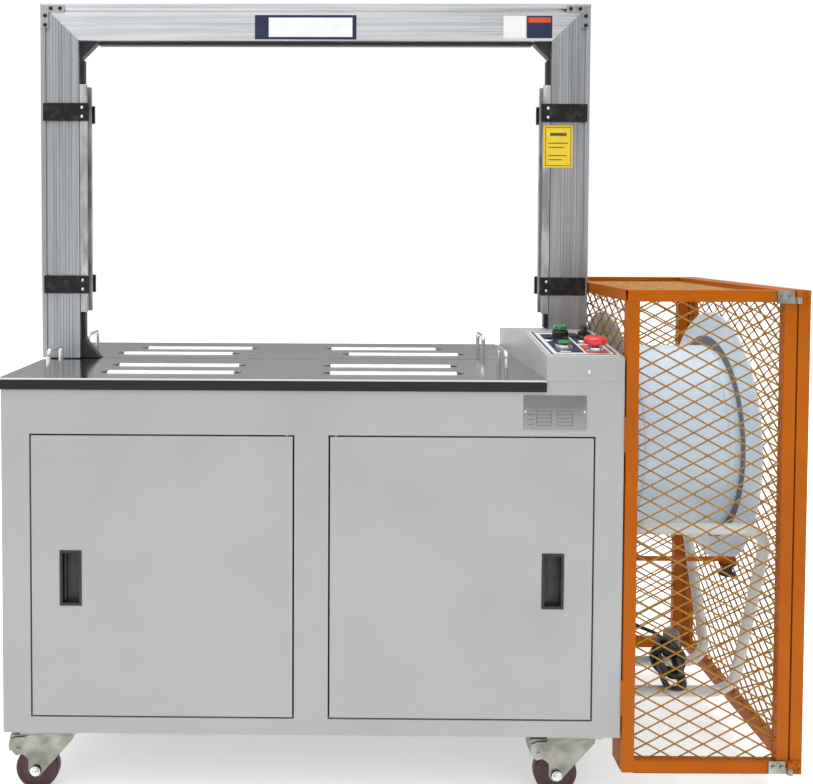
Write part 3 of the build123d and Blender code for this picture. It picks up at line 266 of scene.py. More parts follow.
def curve_of(name, points, radius, finish):
    """A round smooth line through the neighbourhood of its control points."""
    data = bpy.data.curves.new(name, "CURVE")
    data.dimensions = "3D"
    data.bevel_depth, data.bevel_resolution, data.resolution_u = radius, 4, 6
    data.use_fill_caps = True
    spline = data.splines.new("NURBS")
    spline.points.add(len(points) - 1)
    for target, point in zip(spline.points, points):
        target.co = (*point, 1)
    spline.order_u = 3
    spline.use_endpoint_u = True
    data.materials.append(finish)
    line = bpy.data.objects.new(name, data)
    bpy.context.scene.collection.objects.link(line)
    return line


cable = curve_of("power_cable", lead + hank_points(), CORD_D / 2, CABLE)
settle(cable, "cord_jacket", "root", "power_cord", "cord_hank")

# The moulded plug: a grey two-pin body with grip ribs, a tapered sleeve towards the cable and bright pins.

PLUG = surface("plug_moulding", (40, 3, EVEN, 0.35, 0.7), (0.15, 0.155, 0.165), (0.24, 0.245, 0.26), None,
               (1400, 3, EVEN, 0.00006), Roughness=0.45)
POLISH = (300, 2, (1, 1, 6))
BRIGHT = surface("bright_metal", POLISH, (0.62, 0.62, 0.63), (0.85, 0.85, 0.86),
                 POLISH + (0.3, 0.7, 0.12, 0.28), Metallic=1.0)


def from_bmesh(name, form, finish, crease=35):
    """A mesh object at the origin, smooth but for edges sharper than the crease angle."""
    mesh = bpy.data.meshes.new(name)
    form.normal_update()
    form.to_mesh(mesh)
    form.free()
    for face in mesh.polygons:
        face.use_smooth = True
    mesh.set_sharp_from_angle(angle=math.radians(crease))
    mesh.materials.append(finish)
    piece = bpy.data.objects.new(name, mesh)
    bpy.context.scene.collection.objects.link(piece)
    return piece


def add_rounded_box(form, low, high, radius, segments=3):
    """A box with rounded edges, added to a bmesh, in metres."""
    low, high = Vector(low), Vector(high)
    size = high - low
    place = Matrix.Translation((low + high) / 2) @ Matrix.Diagonal((*size, 1))
    verts = bmesh.ops.create_cube(form, size=1.0, matrix=place)["verts"]
    edges = list({edge for vert in verts for edge in vert.link_edges})
    if radius:
        bmesh.ops.bevel(form, geom=edges, offset=radius, segments=segments, profile=0.5,
                        affect="EDGES", clamp_overlap=True)


def add_turned(form, outline, start, axis, steps=48):
    """A solid of revolution: a closed outline of (along, radius) pairs in millimetres about an axis."""
    turn = Vector((0, 0, 1)).rotation_difference(Vector(axis)).to_matrix().to_4x4()
    place = Matrix.Translation(start) @ turn
    rings = []
    for along, radius in outline:
        ring = []
        for step in range(steps if radius > 0 else 1):
            angle = 2 * math.pi * step / steps
            spot = Vector((radius * math.cos(angle), radius * math.sin(angle), along)) * MM
            ring.append(form.verts.new(place @ spot))
        rings.append(ring)
    closed = outline[0][1] > 0 and outline[-1][1] > 0
    pairs = list(zip(rings, rings[1:])) + ([(rings[-1], rings[0])] if closed else [])
    for first, second in pairs:
        for step in range(steps):
            corners = [first[step % len(first)], first[(step + 1) % len(first)],
                       second[(step + 1) % len(second)], second[step % len(second)]]
            unique = list(dict.fromkeys(corners))
            if len(unique) > 2:
                form.faces.new(unique)


def turned(name, outline, start, axis, steps, finish, crease):
    """One turned piece on its own."""
    form = bmesh.new()
    add_turned(form, outline, start, axis, steps)
    return from_bmesh(name, finish_form(form), finish, crease)


def finish_form(form):
    """Merges doubles and turns the faces outwards."""
    bmesh.ops.remove_doubles(form, verts=form.verts, dist=1e-6)
    bmesh.ops.recalc_face_normals(form, faces=form.faces)
    return form


def plug_body():
    """The plug's body, lying along the hank's line, built upright and then laid down."""
    form = bmesh.new()
    add_rounded_box(form, (-0.015, -0.017, 0.004), (0.015, 0.017, 0.042), 0.006, 4)
    for rib in range(5):
        z = 0.009 + 0.0058 * rib
        add_rounded_box(form, (-0.0158, -0.013, z), (0.0158, 0.013, z + 0.0028), 0.001, 2)
    add_turned(form, [(0, 0), (0, 5.6), (3, 6.2), (6, 8.5), (6, 0)], (0, 0, 0), (0, 0, 1), 32)
    finish_form(form)
    form.transform(laid)
    return from_bmesh("plug_body", form, PLUG)


def plug_pins():
    """Two round pins with domed tips."""
    form = bmesh.new()
    for side in (-9.5, 9.5):
        outline = [(-1, 0), (-1, 2.2), (16, 2.2), (17.5, 1.5), (18, 0)]
        add_turned(form, outline, Vector((side, 0, 42)) * MM, (0, 0, 1), 20)
    finish_form(form)
    form.transform(laid)
    return from_bmesh("plug_pins", form, BRIGHT)


plug_axes = Matrix((hank_side, Vector((0, 0, 1)), -hank_run)).transposed().to_4x4()
laid = Matrix.Translation(in_hank(0, -21, 0)) @ plug_axes
plug = settle(plug_body(), "plug_moulding", "root", "cord_plug")
pins = settle(plug_pins(), "fasteners")

# ---------------------------------------------------------------- white sheet metal
# Cabinet, doors and console covers are folded 2 mm sheet, sprayed with a satin white powder coat.
# The folds are rolled, not sharp, and the coat has a faint orange peel.


def white_coat():
    """Satin white powder coat: cool white with faint cloudiness, orange peel and a few dust nibs."""
    finish, tree, shader = new_finish("white_powder_coat", Coat_Weight=0.12, Coat_Roughness=0.25)
    cloud = ramp(tree, noise(tree, 5, 5), 0.3, 0.7)
    colour = blend_colours(tree, cloud, (0.345, 0.353, 0.351, 1), (0.385, 0.393, 0.391, 1))
    nibs = node(tree, "TexVoronoi", {"Vector": node(tree, "TexCoord").outputs["Object"], "Scale": 38.0})
    speck = ramp(tree, nibs.outputs["Distance"], 0.018, 0.03, 0.75, 0.0)
    rare = ramp(tree, noise(tree, 9), 0.66, 0.68)
    dirt = node(tree, "Math", {0: speck, 1: rare}, operation="MULTIPLY").outputs[0]
    tree.links.new(blend_colours(tree, dirt, colour, (0.20, 0.20, 0.20, 1)), shader.inputs["Base Color"])
    tree.links.new(ramp(tree, noise(tree, 14), 0.3, 0.7, 0.34, 0.44), shader.inputs["Roughness"])
    relief(tree, shader, noise(tree, 420, 2), 0.00006)
    return finish


WHITE = white_coat()


def rolled_copy(name, cad_node, finish, width, segments=2, body="root", angle=30):
    """The CAD node's own shape with its sharp edges rolled to a small radius, in millimetres."""
    form = bmesh.new()
    form.from_mesh(NODES[cad_node].data)
    bmesh.ops.remove_doubles(form, verts=form.verts, dist=2e-6)
    bmesh.ops.dissolve_limit(form, angle_limit=math.radians(0.4), verts=form.verts, edges=form.edges)
    piece = from_bmesh(name, form, finish, angle)
    roll = piece.modifiers.new("rolled_edges", "BEVEL")
    roll.width, roll.segments = width * MM, segments
    roll.limit_method, roll.angle_limit = "ANGLE", math.radians(angle)
    roll.harden_normals = True
    return settle(piece, slot_of[cad_node], body, cad_node)


slot_of = {entry["node"]: entry["material_slot"] for entry in frame["record"]["subparts"]}


def coat(finish, *cad_nodes):
    """Gives CAD nodes whose shape is right their real finish."""
    for name in cad_nodes:
        slots = NODES[name].data.materials
        slots.clear()
        slots.append(finish)


rolled_copy("front_sheet", "cabinet_front_frame", WHITE, 0.8)
for side in ("left", "right"):
    rolled_copy(f"{side}_side_sheet", f"cabinet_{side}_panel", WHITE, 0.6)
rolled_copy("back_sheet", "cabinet_back_panel", WHITE, 0.5, 1)
for side in ("left", "right"):
    rolled_copy(f"{side}_door_sheet", f"{side}_door", WHITE, 0.9, 3, f"{side}_door_leaf")

# Grey primer on the hidden structure, rubbed thin in places.
PRIMER = surface("grey_primer", (22, 6, EVEN, 0.42, 0.62), (0.17, 0.18, 0.19), (0.27, 0.28, 0.29),
                 (45, 3, EVEN, 0.3, 0.7, 0.45, 0.65), (300, 3, EVEN, 0.00008), Metallic=0.1)
coat(PRIMER, "cabinet_floor", "cabinet_deck")

# Screws and rivets: button heads with a hexagon socket, all of one tree that sets a turned head on
# every point of a group, facing the group's own way.


def adder(tree):
    """any_node() for one tree."""
    return lambda kind, links=None, **values: any_node(tree, kind, links, **values)


def fastener_tree():
    """Sets a domed head with a hexagon socket on each point."""
    tree = bpy.data.node_groups.new("socket_heads", "GeometryNodeTree")
    face = tree.interface
    face.new_socket("Points", in_out="INPUT", socket_type="NodeSocketGeometry")
    sizes = [("Head radius", 0.004), ("Head height", 0.0025), ("Socket radius", 0.0018)]
    for label, value in sizes:
        face.new_socket(label, in_out="INPUT", socket_type="NodeSocketFloat").default_value = value
    face.new_socket("Facing", in_out="INPUT", socket_type="NodeSocketRotation")
    face.new_socket("Finish", in_out="INPUT", socket_type="NodeSocketMaterial")
    face.new_socket("Heads", in_out="OUTPUT", socket_type="NodeSocketGeometry")

    add = adder(tree)
    given = tree.nodes.new("NodeGroupInput").outputs
    result = tree.nodes.new("NodeGroupOutput").inputs
    ball = add("GeometryNodeMeshUVSphere", {"Segments": 20, "Rings": 12, "Radius": 1.0}).outputs["Mesh"]
    flat = add("ShaderNodeCombineXYZ", {"X": given["Head radius"], "Y": given["Head radius"],
                                        "Z": given["Head height"]}).outputs[0]
    dome = add("GeometryNodeTransform", {"Geometry": ball, "Scale": flat}).outputs[0]
    hexagon = add("GeometryNodeMeshCylinder", {"Vertices": 6, "Radius": given["Socket radius"],
                                               "Depth": given["Head height"]}).outputs["Mesh"]
    lift = add("ShaderNodeCombineXYZ", {"Z": given["Head height"]}).outputs[0]
    recess = add("GeometryNodeTransform", {"Geometry": hexagon, "Translation": lift}).outputs[0]
    head = add("GeometryNodeMeshBoolean", {"Mesh 1": dome, "Mesh 2": recess}, operation="DIFFERENCE",
               solver="EXACT")
    spread = add("GeometryNodeInstanceOnPoints", {"Points": given["Points"], "Instance": head.outputs["Mesh"],
                                                  "Rotation": given["Facing"]})
    real = add("GeometryNodeRealizeInstances", {"Geometry": spread.outputs[0]})
    dressed = add("GeometryNodeSetMaterial", {"Geometry": real.outputs[0], "Material": given["Finish"]})
    tree.links.new(dressed.outputs[0], result["Heads"])
    return tree


def grow(name, tree, points, values):
    """Runs a node tree on a set of points and keeps the result as a plain mesh."""
    mesh = bpy.data.meshes.new(name + "_points")
    mesh.from_pydata([tuple(point) for point in points], [], [])
    seed = bpy.data.objects.new(name + "_points", mesh)
    bpy.context.scene.collection.objects.link(seed)
    growth = seed.modifiers.new("growth", "NODES")
    growth.node_group = tree
    for item in tree.interface.items_tree:
        if item.in_out == "INPUT" and item.name in values:
            growth[item.identifier] = values[item.name]
    evaluated = seed.evaluated_get(bpy.context.evaluated_depsgraph_get())
    grown = bpy.data.meshes.new_from_object(evaluated)
    bpy.data.objects.remove(seed)
    piece = bpy.data.objects.new(name, grown)
    bpy.context.scene.collection.objects.link(piece)
    for face in grown.polygons:
        face.use_smooth = True
    grown.set_sharp_from_angle(angle=math.radians(40))
    return piece


HEADS = fastener_tree()
FACING_FRONT = (math.pi / 2, 0, 0)
FACING_BACK = (-math.pi / 2, 0, 0)
FACING_RIGHT = (0, math.pi / 2, 0)


def heads(name, points, radius, height, facing, finish, body="root", slot="fasteners"):
    """A group of like screw heads, sizes in millimetres."""
    piece = grow(name, HEADS, points, {
        "Head radius": radius * MM, "Head height": height * MM, "Socket radius": radius * 0.45 * MM,
        "Facing": facing, "Finish": finish})
    return settle(piece, slot, body)


low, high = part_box("cabinet_back_panel")
edge_x = [low.x + 0.018 + (high.x - low.x - 0.036) * step / 4 for step in range(5)]
edge_z = [low.z + 0.02 + (high.z - low.z - 0.04) * step / 3 for step in range(4)]
back_spots = [(x, high.y, z) for x in edge_x for z in (edge_z[0], edge_z[-1])]
back_spots += [(x, high.y, z) for x in (edge_x[0], edge_x[-1]) for z in edge_z[1:-1]]
heads("back_panel_screws", back_spots, 4.5, 2.6, FACING_BACK, BRIGHT)

# The rating plate: thin brushed aluminium with a rolled rim, ruled into blank fields, on four rivets.
# It carries no writing.

BRUSHED = (90, 3, (1, 1, 30))
PLATE = surface("brushed_plate", BRUSHED, (0.20, 0.205, 0.20), (0.30, 0.305, 0.30),
                BRUSHED + (0.3, 0.7, 0.32, 0.5), BRUSHED + (0.00004,), Metallic=0.85)
INK = surface("dark_print", (500,), (0.045, 0.05, 0.06), (0.08, 0.085, 0.09), Roughness=0.5)
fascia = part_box("cabinet_front_frame")[0]
left_side = fascia.x


def rating_plate():
    """The plate itself, 107 by 58 mm."""
    form = bmesh.new()
    add_rounded_box(form, (left_side + 0.889, fascia.y - 0.0010, 0.646),
                    (left_side + 0.996, fascia.y + 0.0002, 0.704), 0.0005, 2)
    return from_bmesh("rating_plate", finish_form(form), PLATE)


def rating_rules():
    """Thin rules: a line under the plate's blank head, and two columns of blank fields."""
    form = bmesh.new()
    y = (fascia.y - 0.00125, fascia.y - 0.0009)
    lines = [((0.897, 0.988), (0.6846, 0.6851))]
    for left, right in ((0.911, 0.936), (0.946, 0.972)):
        lines += [((left, right), (0.6525 + 0.0062 * row, 0.6531 + 0.0062 * row)) for row in range(5)]
        lines += [((side, side + 0.0006), (0.6525, 0.6779)) for side in (left, right)]
    lines += [((0.897, 0.907), (0.6545 + 0.0082 * row, 0.6555 + 0.0082 * row)) for row in range(3)]
    for x, z in lines:
        add_rounded_box(form, (left_side + x[0], y[0], z[0]), (left_side + x[1], y[1], z[1]), 0)
    return from_bmesh("rating_rules", finish_form(form), INK)


settle(rating_plate(), "fasteners")
settle(rating_rules(), "fasteners")
rivets = [(left_side + x, fascia.y - 0.0009, 0.6765) for x in (0.8925, 0.9925)]
heads("rating_rivets", rivets, 2.0, 1.2, FACING_FRONT, BRIGHT)

# Door pulls: black moulded cups that clip into the doors, with a raised rim and a rolled lip.

MOULDED = surface("black_moulding", (35, 5, EVEN, 0.35, 0.7), (0.008, 0.008, 0.009), (0.022, 0.022, 0.024),
                  (200, 3, EVEN, 0.3, 0.7, 0.42, 0.6), (1500, 2, EVEN, 0.0001))
for side in ("left", "right"):
    rolled_copy(f"{side}_pull_cup", f"{side}_door_pull", MOULDED, 0.6, 2, f"{side}_door_leaf")
for side in ("left", "right"):
    low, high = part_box(f"{side}_door_pull")
    form = bmesh.new()
    add_rounded_box(form, (low.x + 0.0052, high.y - 0.0075, low.z + 0.006),
                    (low.x + 0.0105, high.y - 0.0022, high.z - 0.006), 0.0018, 3)
    settle(from_bmesh(f"{side}_pull_lip", finish_form(form), MOULDED), "black_plastic", f"{side}_door_leaf")

# ---------------------------------------------------------------- casters
# Four 75 mm casters bolted under the cabinet floor. The front two swivel and carry a stamped brake
# pedal; forks and plates are pressed steel in bright zinc, the wheels maroon polyurethane.

ZINC = surface("zinc_plate", (28, 6, EVEN, 0.35, 0.68), (0.20, 0.20, 0.17), (0.42, 0.42, 0.385),
               (70, 4, EVEN, 0.3, 0.7, 0.24, 0.46), (260, 3, EVEN, 0.0001), Metallic=0.9)
MAROON = surface("maroon_polyurethane", (70, 6, EVEN, 0.4, 0.75), (0.030, 0.003, 0.005),
                 (0.060, 0.010, 0.012), (90, 3, EVEN, 0.3, 0.7, 0.28, 0.5), (800, 3, EVEN, 0.00008))


def wheel_tread(name, cad_node, body):
    """The polyurethane tyre on its hub, with a crowned tread and stepped side walls."""
    low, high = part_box(cad_node)
    middle = (low + high) / 2
    start = Vector((middle.x, middle.y - 0.012, middle.z))
    outline = [(0.6, 12.5), (0.6, 20), (2.2, 22), (2.2, 28), (0.4, 30.5), (0.1, 33.5), (0.9, 35.9),
               (3.0, 37.1), (7.0, 37.45), (12, 37.5), (17, 37.45), (21, 37.1), (23.1, 35.9), (23.9, 33.5),
               (23.6, 30.5), (21.8, 28), (21.8, 22), (23.4, 20), (23.4, 12.5)]
    settle(turned(name, outline, start, (0, 1, 0), 64, MAROON, 50), "wheel_tread", body, cad_node)
    return start


def wheel_hub(name, start, body):
    """The pressed bearing cups at both sides of the wheel, joined by the hub tube."""
    outline = [(-1.9, 6.1), (-1.9, 9.0), (-1.2, 11.0), (0.4, 12.0), (0.9, 13.0), (23.1, 13.0), (23.6, 12.0),
               (25.2, 11.0), (25.9, 9.0), (25.9, 6.1)]
    settle(turned(name, outline, start, (0, 1, 0), 40, ZINC, 40), "zinc_pressing", body)


for corner in ("front_left", "front_right", "rear_left", "rear_right"):
    hub_start = wheel_tread(f"{corner}_tyre", f"{corner}_wheel", f"{corner}_roll")
    wheel_hub(f"{corner}_hub", hub_start, f"{corner}_roll")
rolled_copy("caster_top_plates", "caster_mounts", ZINC, 0.6, 2)


def axle_nut(name, centre, facing, body):
    """A hexagon nut with a washer and the axle's domed end."""
    form = bmesh.new()
    add_turned(form, [(0, 0), (0, 8.6), (1.2, 8.6), (1.2, 0)], centre, facing, 36)
    add_turned(form, [(1.0, 0), (1.0, 7.2), (4.2, 7.2), (5.2, 6.2), (5.2, 0)], centre, facing, 6)
    add_turned(form, [(4.0, 0), (4.0, 3.8), (7.0, 3.8), (8.2, 2.4), (8.5, 0)], centre, facing, 24)
    settle(from_bmesh(name, finish_form(form), BRIGHT, 25), "fasteners", body)


for corner in ("front_left", "front_right"):
    wheel_low, wheel_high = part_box(f"{corner}_wheel")
    fork_low, fork_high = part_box(f"{corner}_fork")
    hub = (wheel_low + wheel_high) / 2
    for end, y, way in (("nut", fork_low.y + 0.0005, -1), ("head", fork_high.y - 0.0005, 1)):
        axle_nut(f"{corner}_axle_{end}", Vector((hub.x, y, hub.z)), (0, way, 0), f"{corner}_swivel")


def rounded_outline(corners):
    """A closed outline with its corners rounded; each corner is (x, z, radius)."""
    outline = []
    for place, (x, z, radius) in enumerate(corners):
        here = Vector((x, z))
        before = (Vector(corners[place - 1][:2]) - here)
        after = (Vector(corners[(place + 1) % len(corners)][:2]) - here)
        half_turn = before.angle(after) / 2
        reach = min(radius / math.tan(half_turn), 0.49 * before.length, 0.49 * after.length)
        first, last = here + before.normalized() * reach, here + after.normalized() * reach
        for step in range(7):
            share = step / 6
            outline.append((1 - share) ** 2 * first + 2 * share * (1 - share) * here + share ** 2 * last)
    return outline


def add_pressing(form, outline, start, thickness):
    """A flat pressing with an outline in millimetres about a start point, as thick as given along Y."""
    faces = []
    for y in (0.0, thickness):
        verts = [form.verts.new((start.x + u * MM, start.y + y * MM, start.z + v * MM)) for u, v in outline]
        faces.append(form.faces.new(verts))
    for step in range(len(outline)):
        after = (step + 1) % len(outline)
        near, far = faces[0].verts, faces[1].verts
        form.faces.new([near[step], near[after], far[after], far[step]])


def swivel_fork(corner):
    """The pressed fork: two cheeks under a bridge, with a rivet and the axle through them."""
    low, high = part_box(f"{corner}_fork")
    wheel_low, wheel_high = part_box(f"{corner}_wheel")
    axle = (wheel_low + wheel_high) / 2
    top = (NODES["caster_mounts"].bound_box[6][2] - 0.014 - axle.z) / MM
    cheek = rounded_outline([(-45, top, 4), (67, top, 2), (66, top - 7, 5), (14, -2, 8), (7, -11, 7),
                             (-7, -11, 7), (-13, -2, 6), (-13.5, 20, 9), (-24, 28, 5),
                             (-35, 25, 3), (-46, 38, 5)])
    form = bmesh.new()
    for y in (-17.5, 15.0):
        add_pressing(form, cheek, Vector((axle.x, axle.y + y * MM, axle.z)), 2.5)
    add_rounded_box(form, (axle.x - 0.044, axle.y - 0.0175, axle.z + (top - 2.5) * MM),
                    (axle.x + 0.067, axle.y + 0.0175, axle.z + top * MM), 0.0011, 3)
    add_turned(form, [(-17.5, 0), (-17.5, 6), (17.5, 6), (17.5, 0)], axle, (0, 1, 0), 24)
    for side in (-1, 1):
        rivet = [(0, 0), (0, 4.2), (1.0, 4.0), (1.8, 2.6), (2.0, 0)]
        add_turned(form, rivet, axle + Vector((-0.031, side * 0.0175, 0.037)), (0, side, 0), 20)
    piece = from_bmesh(f"{corner}_fork_pressing", finish_form(form), ZINC, 40)
    roll = piece.modifiers.new("rolled_edges", "BEVEL")
    roll.width, roll.segments, roll.limit_method = 0.0006, 2, "ANGLE"
    roll.angle_limit, roll.harden_normals = math.radians(50), True
    settle(piece, "zinc_pressing", f"{corner}_swivel", f"{corner}_fork")


def brake_pedal(corner):
    """The stamped brake pedal: a bent tread with a rolled toe between two side flanges."""
    wheel_low, wheel_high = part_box(f"{corner}_wheel")
    axle = (wheel_low + wheel_high) / 2
    tread = rounded_outline([(-44, 36, 1), (-46, 44, 4), (-43, 54, 5), (-33, 58, 8), (-14, 59, 0.5),
                             (-14, 61, 0.5), (-34, 60, 8), (-45, 56, 6), (-47.5, 44, 5), (-45, 35, 1)])
    flange = rounded_outline([(-45, 35, 1.5), (-46.5, 45, 4), (-44, 55, 5), (-33, 59.5, 6), (-17, 60, 1),
                              (-20, 53, 5), (-30, 47, 6), (-38, 38, 5)])
    form = bmesh.new()
    add_pressing(form, tread, Vector((axle.x, axle.y - 0.019, axle.z)), 38)
    for y in (-20.6, 19.0):
        add_pressing(form, flange, Vector((axle.x, axle.y + y * MM, axle.z)), 1.6)
    piece = from_bmesh(f"{corner}_brake_pedal", finish_form(form), ZINC, 40)
    settle(piece, "zinc_pressing", f"{corner}_swivel")


for corner in ("front_left", "front_right"):
    swivel_fork(corner)
    brake_pedal(corner)

# ---------------------------------------------------------------- table
# Two lift-off plates of polished stainless steel with folded edges. Bright plated rollers stand a
# little proud of slots in the plates, and bent-bar handles are welded near each plate's ends.


def polished_steel_painted_reflection():
    """Polished steel with fine hazy scratches; the folded edge under the top face is painted near black, a
    painted reflection of the dark floor.
    """
    finish, tree, shader = new_finish("polished_steel_painted_reflection", Metallic=1.0)
    haze = ramp(tree, noise(tree, 3.0, 6), 0.3, 0.75)
    scratch = noise(tree, 60, 2, (1, 24, 1))
    top = blend_colours(tree, haze, (0.50, 0.505, 0.515, 1), (0.60, 0.605, 0.615, 1))
    # Painted reflection: everything below the top face, under z 0.727, is painted near black for the dark
    # floor the folded edge would mirror.
    edge = ramp(tree, height_above(tree), 0.7268, 0.7272)
    tree.links.new(blend_colours(tree, edge, (0.030, 0.028, 0.026, 1), top), shader.inputs["Base Color"])
    rough = node(tree, "Math", {0: ramp(tree, scratch, 0.3, 0.7, 0.0, 0.05),
                                1: ramp(tree, haze, 0.0, 1.0, 0.07, 0.13)}, operation="ADD").outputs[0]
    tree.links.new(rough, shader.inputs["Roughness"])
    relief(tree, shader, scratch, 0.00001)
    return finish


STEEL = polished_steel_painted_reflection()
# White-bright plated roller tube, lightly worn by cartons.
WORN = (120, 4, (0.3, 1, 1), 0.35, 0.7)
ROLLER = surface("roller_plating", WORN, (0.84, 0.84, 0.85), (0.94, 0.94, 0.94), WORN + (0.20, 0.34),
                 Metallic=0.35)
rolled_copy("front_table_sheet", "table_front_plate", STEEL, 0.9, 3, "front_plate")
rolled_copy("rear_table_sheet", "table_rear_plate", STEEL, 0.9, 3, "rear_plate")
coat(BRIGHT, "front_plate_handles", "rear_plate_handles")


def roller_pair(row):
    """The two rollers of one row: tube, turned-down ends with a dark bearing ring, and pins."""
    cad_node = f"table_rollers_{row}"
    low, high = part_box(cad_node)
    y, z = (low.y + high.y) / 2, (low.z + high.z) / 2
    tubes, rings = bmesh.new(), bmesh.new()
    for start in (low.x + 0.013, high.x - 0.013 - 0.236):
        tube = [(6, 12), (6, 14.2), (6.8, 15), (229.2, 15), (230, 14.2), (230, 12)]
        add_turned(tubes, tube, (start, y, z), (1, 0, 0), 40)
        ring = [(-13, 0), (-13, 4), (0, 4), (0, 10), (0.8, 12.5), (7, 12.5), (229, 12.5), (235.2, 12.5),
                (236, 10), (236, 4), (249, 4), (249, 0)]
        add_turned(rings, ring, (start, y, z), (1, 0, 0), 32)
    tube_piece = from_bmesh(f"roller_tubes_{row}", finish_form(tubes), ROLLER, 40)
    ring_piece = from_bmesh(f"roller_bearings_{row}", finish_form(rings), MOULDED, 30)
    settle(tube_piece, "roller_steel", f"roller_row_{row}", cad_node)
    settle(ring_piece, "roller_steel", f"roller_row_{row}")


for row in range(1, 5):
    roller_pair(row)

# ---------------------------------------------------------------- arch
# Three lengths of anodised aluminium extrusion, mitred and joined by corner plates. The front and
# back faces are finely ribbed; the strap runs in a track lined with black plastic inside the arch.


def extrusion_finish(name, stretch, tone, bright):
    """Clear-anodised aluminium with die lines along the extrusion."""
    finish, tree, shader = new_finish(name, Metallic=0.9)
    lines = noise(tree, 140, 3, stretch)
    cloud = ramp(tree, noise(tree, 6, 4), 0.3, 0.7)
    base = blend_colours(tree, cloud, [0.9 * part for part in tone] + [1], (*tone, 1))
    tree.links.new(blend_colours(tree, ramp(tree, lines, 0.4, 0.6, 0.0, 0.45), base, (*bright, 1)),
                   shader.inputs["Base Color"])
    tree.links.new(ramp(tree, lines, 0.3, 0.7, 0.32, 0.46), shader.inputs["Roughness"])
    relief(tree, shader, lines, 0.00004)
    return finish


# One anodised aluminium in two tones: the uprights and corner plates are painted darker as painted shade, and
# the beam lighter as painted light from the lamps above.
ALLOY_PAINTED_SHADE = extrusion_finish("anodised_alloy_painted_shade", (1, 1, 0.02), (0.42, 0.44, 0.455), (0.53, 0.54, 0.555))
ALLOY_PAINTED_LIGHT = extrusion_finish("anodised_alloy_painted_light", (0.02, 1, 1), (0.72, 0.74, 0.76), (0.85, 0.86, 0.88))
rolled_copy("left_upright", "arch_left_leg", ALLOY_PAINTED_SHADE, 0.25, 1)
rolled_copy("right_upright", "arch_right_leg", ALLOY_PAINTED_SHADE, 0.25, 1)
rolled_copy("top_beam", "arch_top_beam", ALLOY_PAINTED_LIGHT, 0.25, 1)
rolled_copy("corner_brackets", "arch_corner_plates", ALLOY_PAINTED_SHADE, 0.6, 2)

# Blackened steel with rubbed edges.
OXIDE = surface("black_oxide", (80, 6, EVEN, 0.5, 0.75), (0.008, 0.008, 0.009), (0.035, 0.035, 0.038),
                (60, 3, EVEN, 0.3, 0.7, 0.34, 0.5), (700, 3, EVEN, 0.00006), Metallic=0.4)
rolled_copy("guard_clamp_plates", "guard_clamps", OXIDE, 1.0, 3)
rolled_copy("track_guides", "strap_guides", MOULDED, 0.5, 2)

# Mill-finish aluminium bar, dull and slightly knocked.
KNOCKS = (45, 6, (1, 1, 0.35))
GUARD = surface("guard_bar_alloy", KNOCKS + (0.35, 0.7), (0.34, 0.35, 0.345), (0.62, 0.63, 0.63),
                KNOCKS + (0.3, 0.7, 0.35, 0.6), KNOCKS + (0.0004,), Metallic=0.8)
rolled_copy("strap_guard_bars", "guard_bars", GUARD, 0.9, 2)

bolt_groups = {"front": [], "back": [], "clamp": []}
plates_low, plates_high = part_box("arch_corner_plates")
clamps_low, clamps_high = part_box("guard_clamps")
for side, edge in ((1, plates_low.x), (-1, plates_high.x)):
    for across, down in ((18, 7), (36, 7), (7, 21), (7, 39)):
        x, z = edge + side * across * MM, plates_high.z - down * MM
        bolt_groups["front"].append((x, plates_low.y, z))
        bolt_groups["back"].append((x, plates_high.y, z))
for side, edge in ((1, clamps_low.x), (-1, clamps_high.x)):
    for middle in (0.876, 1.212):
        for offset in (-0.00875, 0.00875):
            bolt_groups["clamp"].append((edge + side * 0.076, clamps_low.y, middle + offset))
front_bolts = heads("corner_bolts_front", bolt_groups["front"], 4.0, 2.8, FACING_FRONT, OXIDE)
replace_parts(front_bolts, "arch_bolts")
heads("corner_bolts_back", bolt_groups["back"], 4.0, 2.8, FACING_BACK, OXIDE)
heads("clamp_screws", bolt_groups["clamp"], 3.0, 2.2, FACING_FRONT, BRIGHT)

# Stickers: thin film labels with nothing written on them. One yellow notice with a dark border on the
# right upright, and two plain badges on the beam.


def film(name, colour, tone, roughness=0.35):
    """Printed label film."""
    return surface(name, (40, 4, EVEN, 0.3, 0.7), colour, tone, Roughness=roughness)


YELLOW_FILM = film("yellow_film", (0.72, 0.50, 0.015), (0.80, 0.58, 0.03))
WHITE_FILM = film("white_film", (0.72, 0.73, 0.74), (0.80, 0.81, 0.81))
NAVY_FILM = film("navy_film", (0.010, 0.016, 0.05), (0.018, 0.025, 0.07))
RED_FILM = film("red_film", (0.55, 0.06, 0.02), (0.62, 0.09, 0.03))
arch_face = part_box("arch_left_leg")[0].y


def sticker(name, x, z, finish, lift):
    """A flat rectangle of film on the arch's front face; lift is in tenths of a millimetre."""
    form = bmesh.new()
    y = arch_face - lift * 0.0001
    low, high = [(left_side + x[end] * MM, y - (0.00012, 0)[end], z[end] * MM) for end in (0, 1)]
    add_rounded_box(form, low, high, 0.00005, 1)
    settle(from_bmesh(name, finish_form(form), finish), "arch_extrusion")


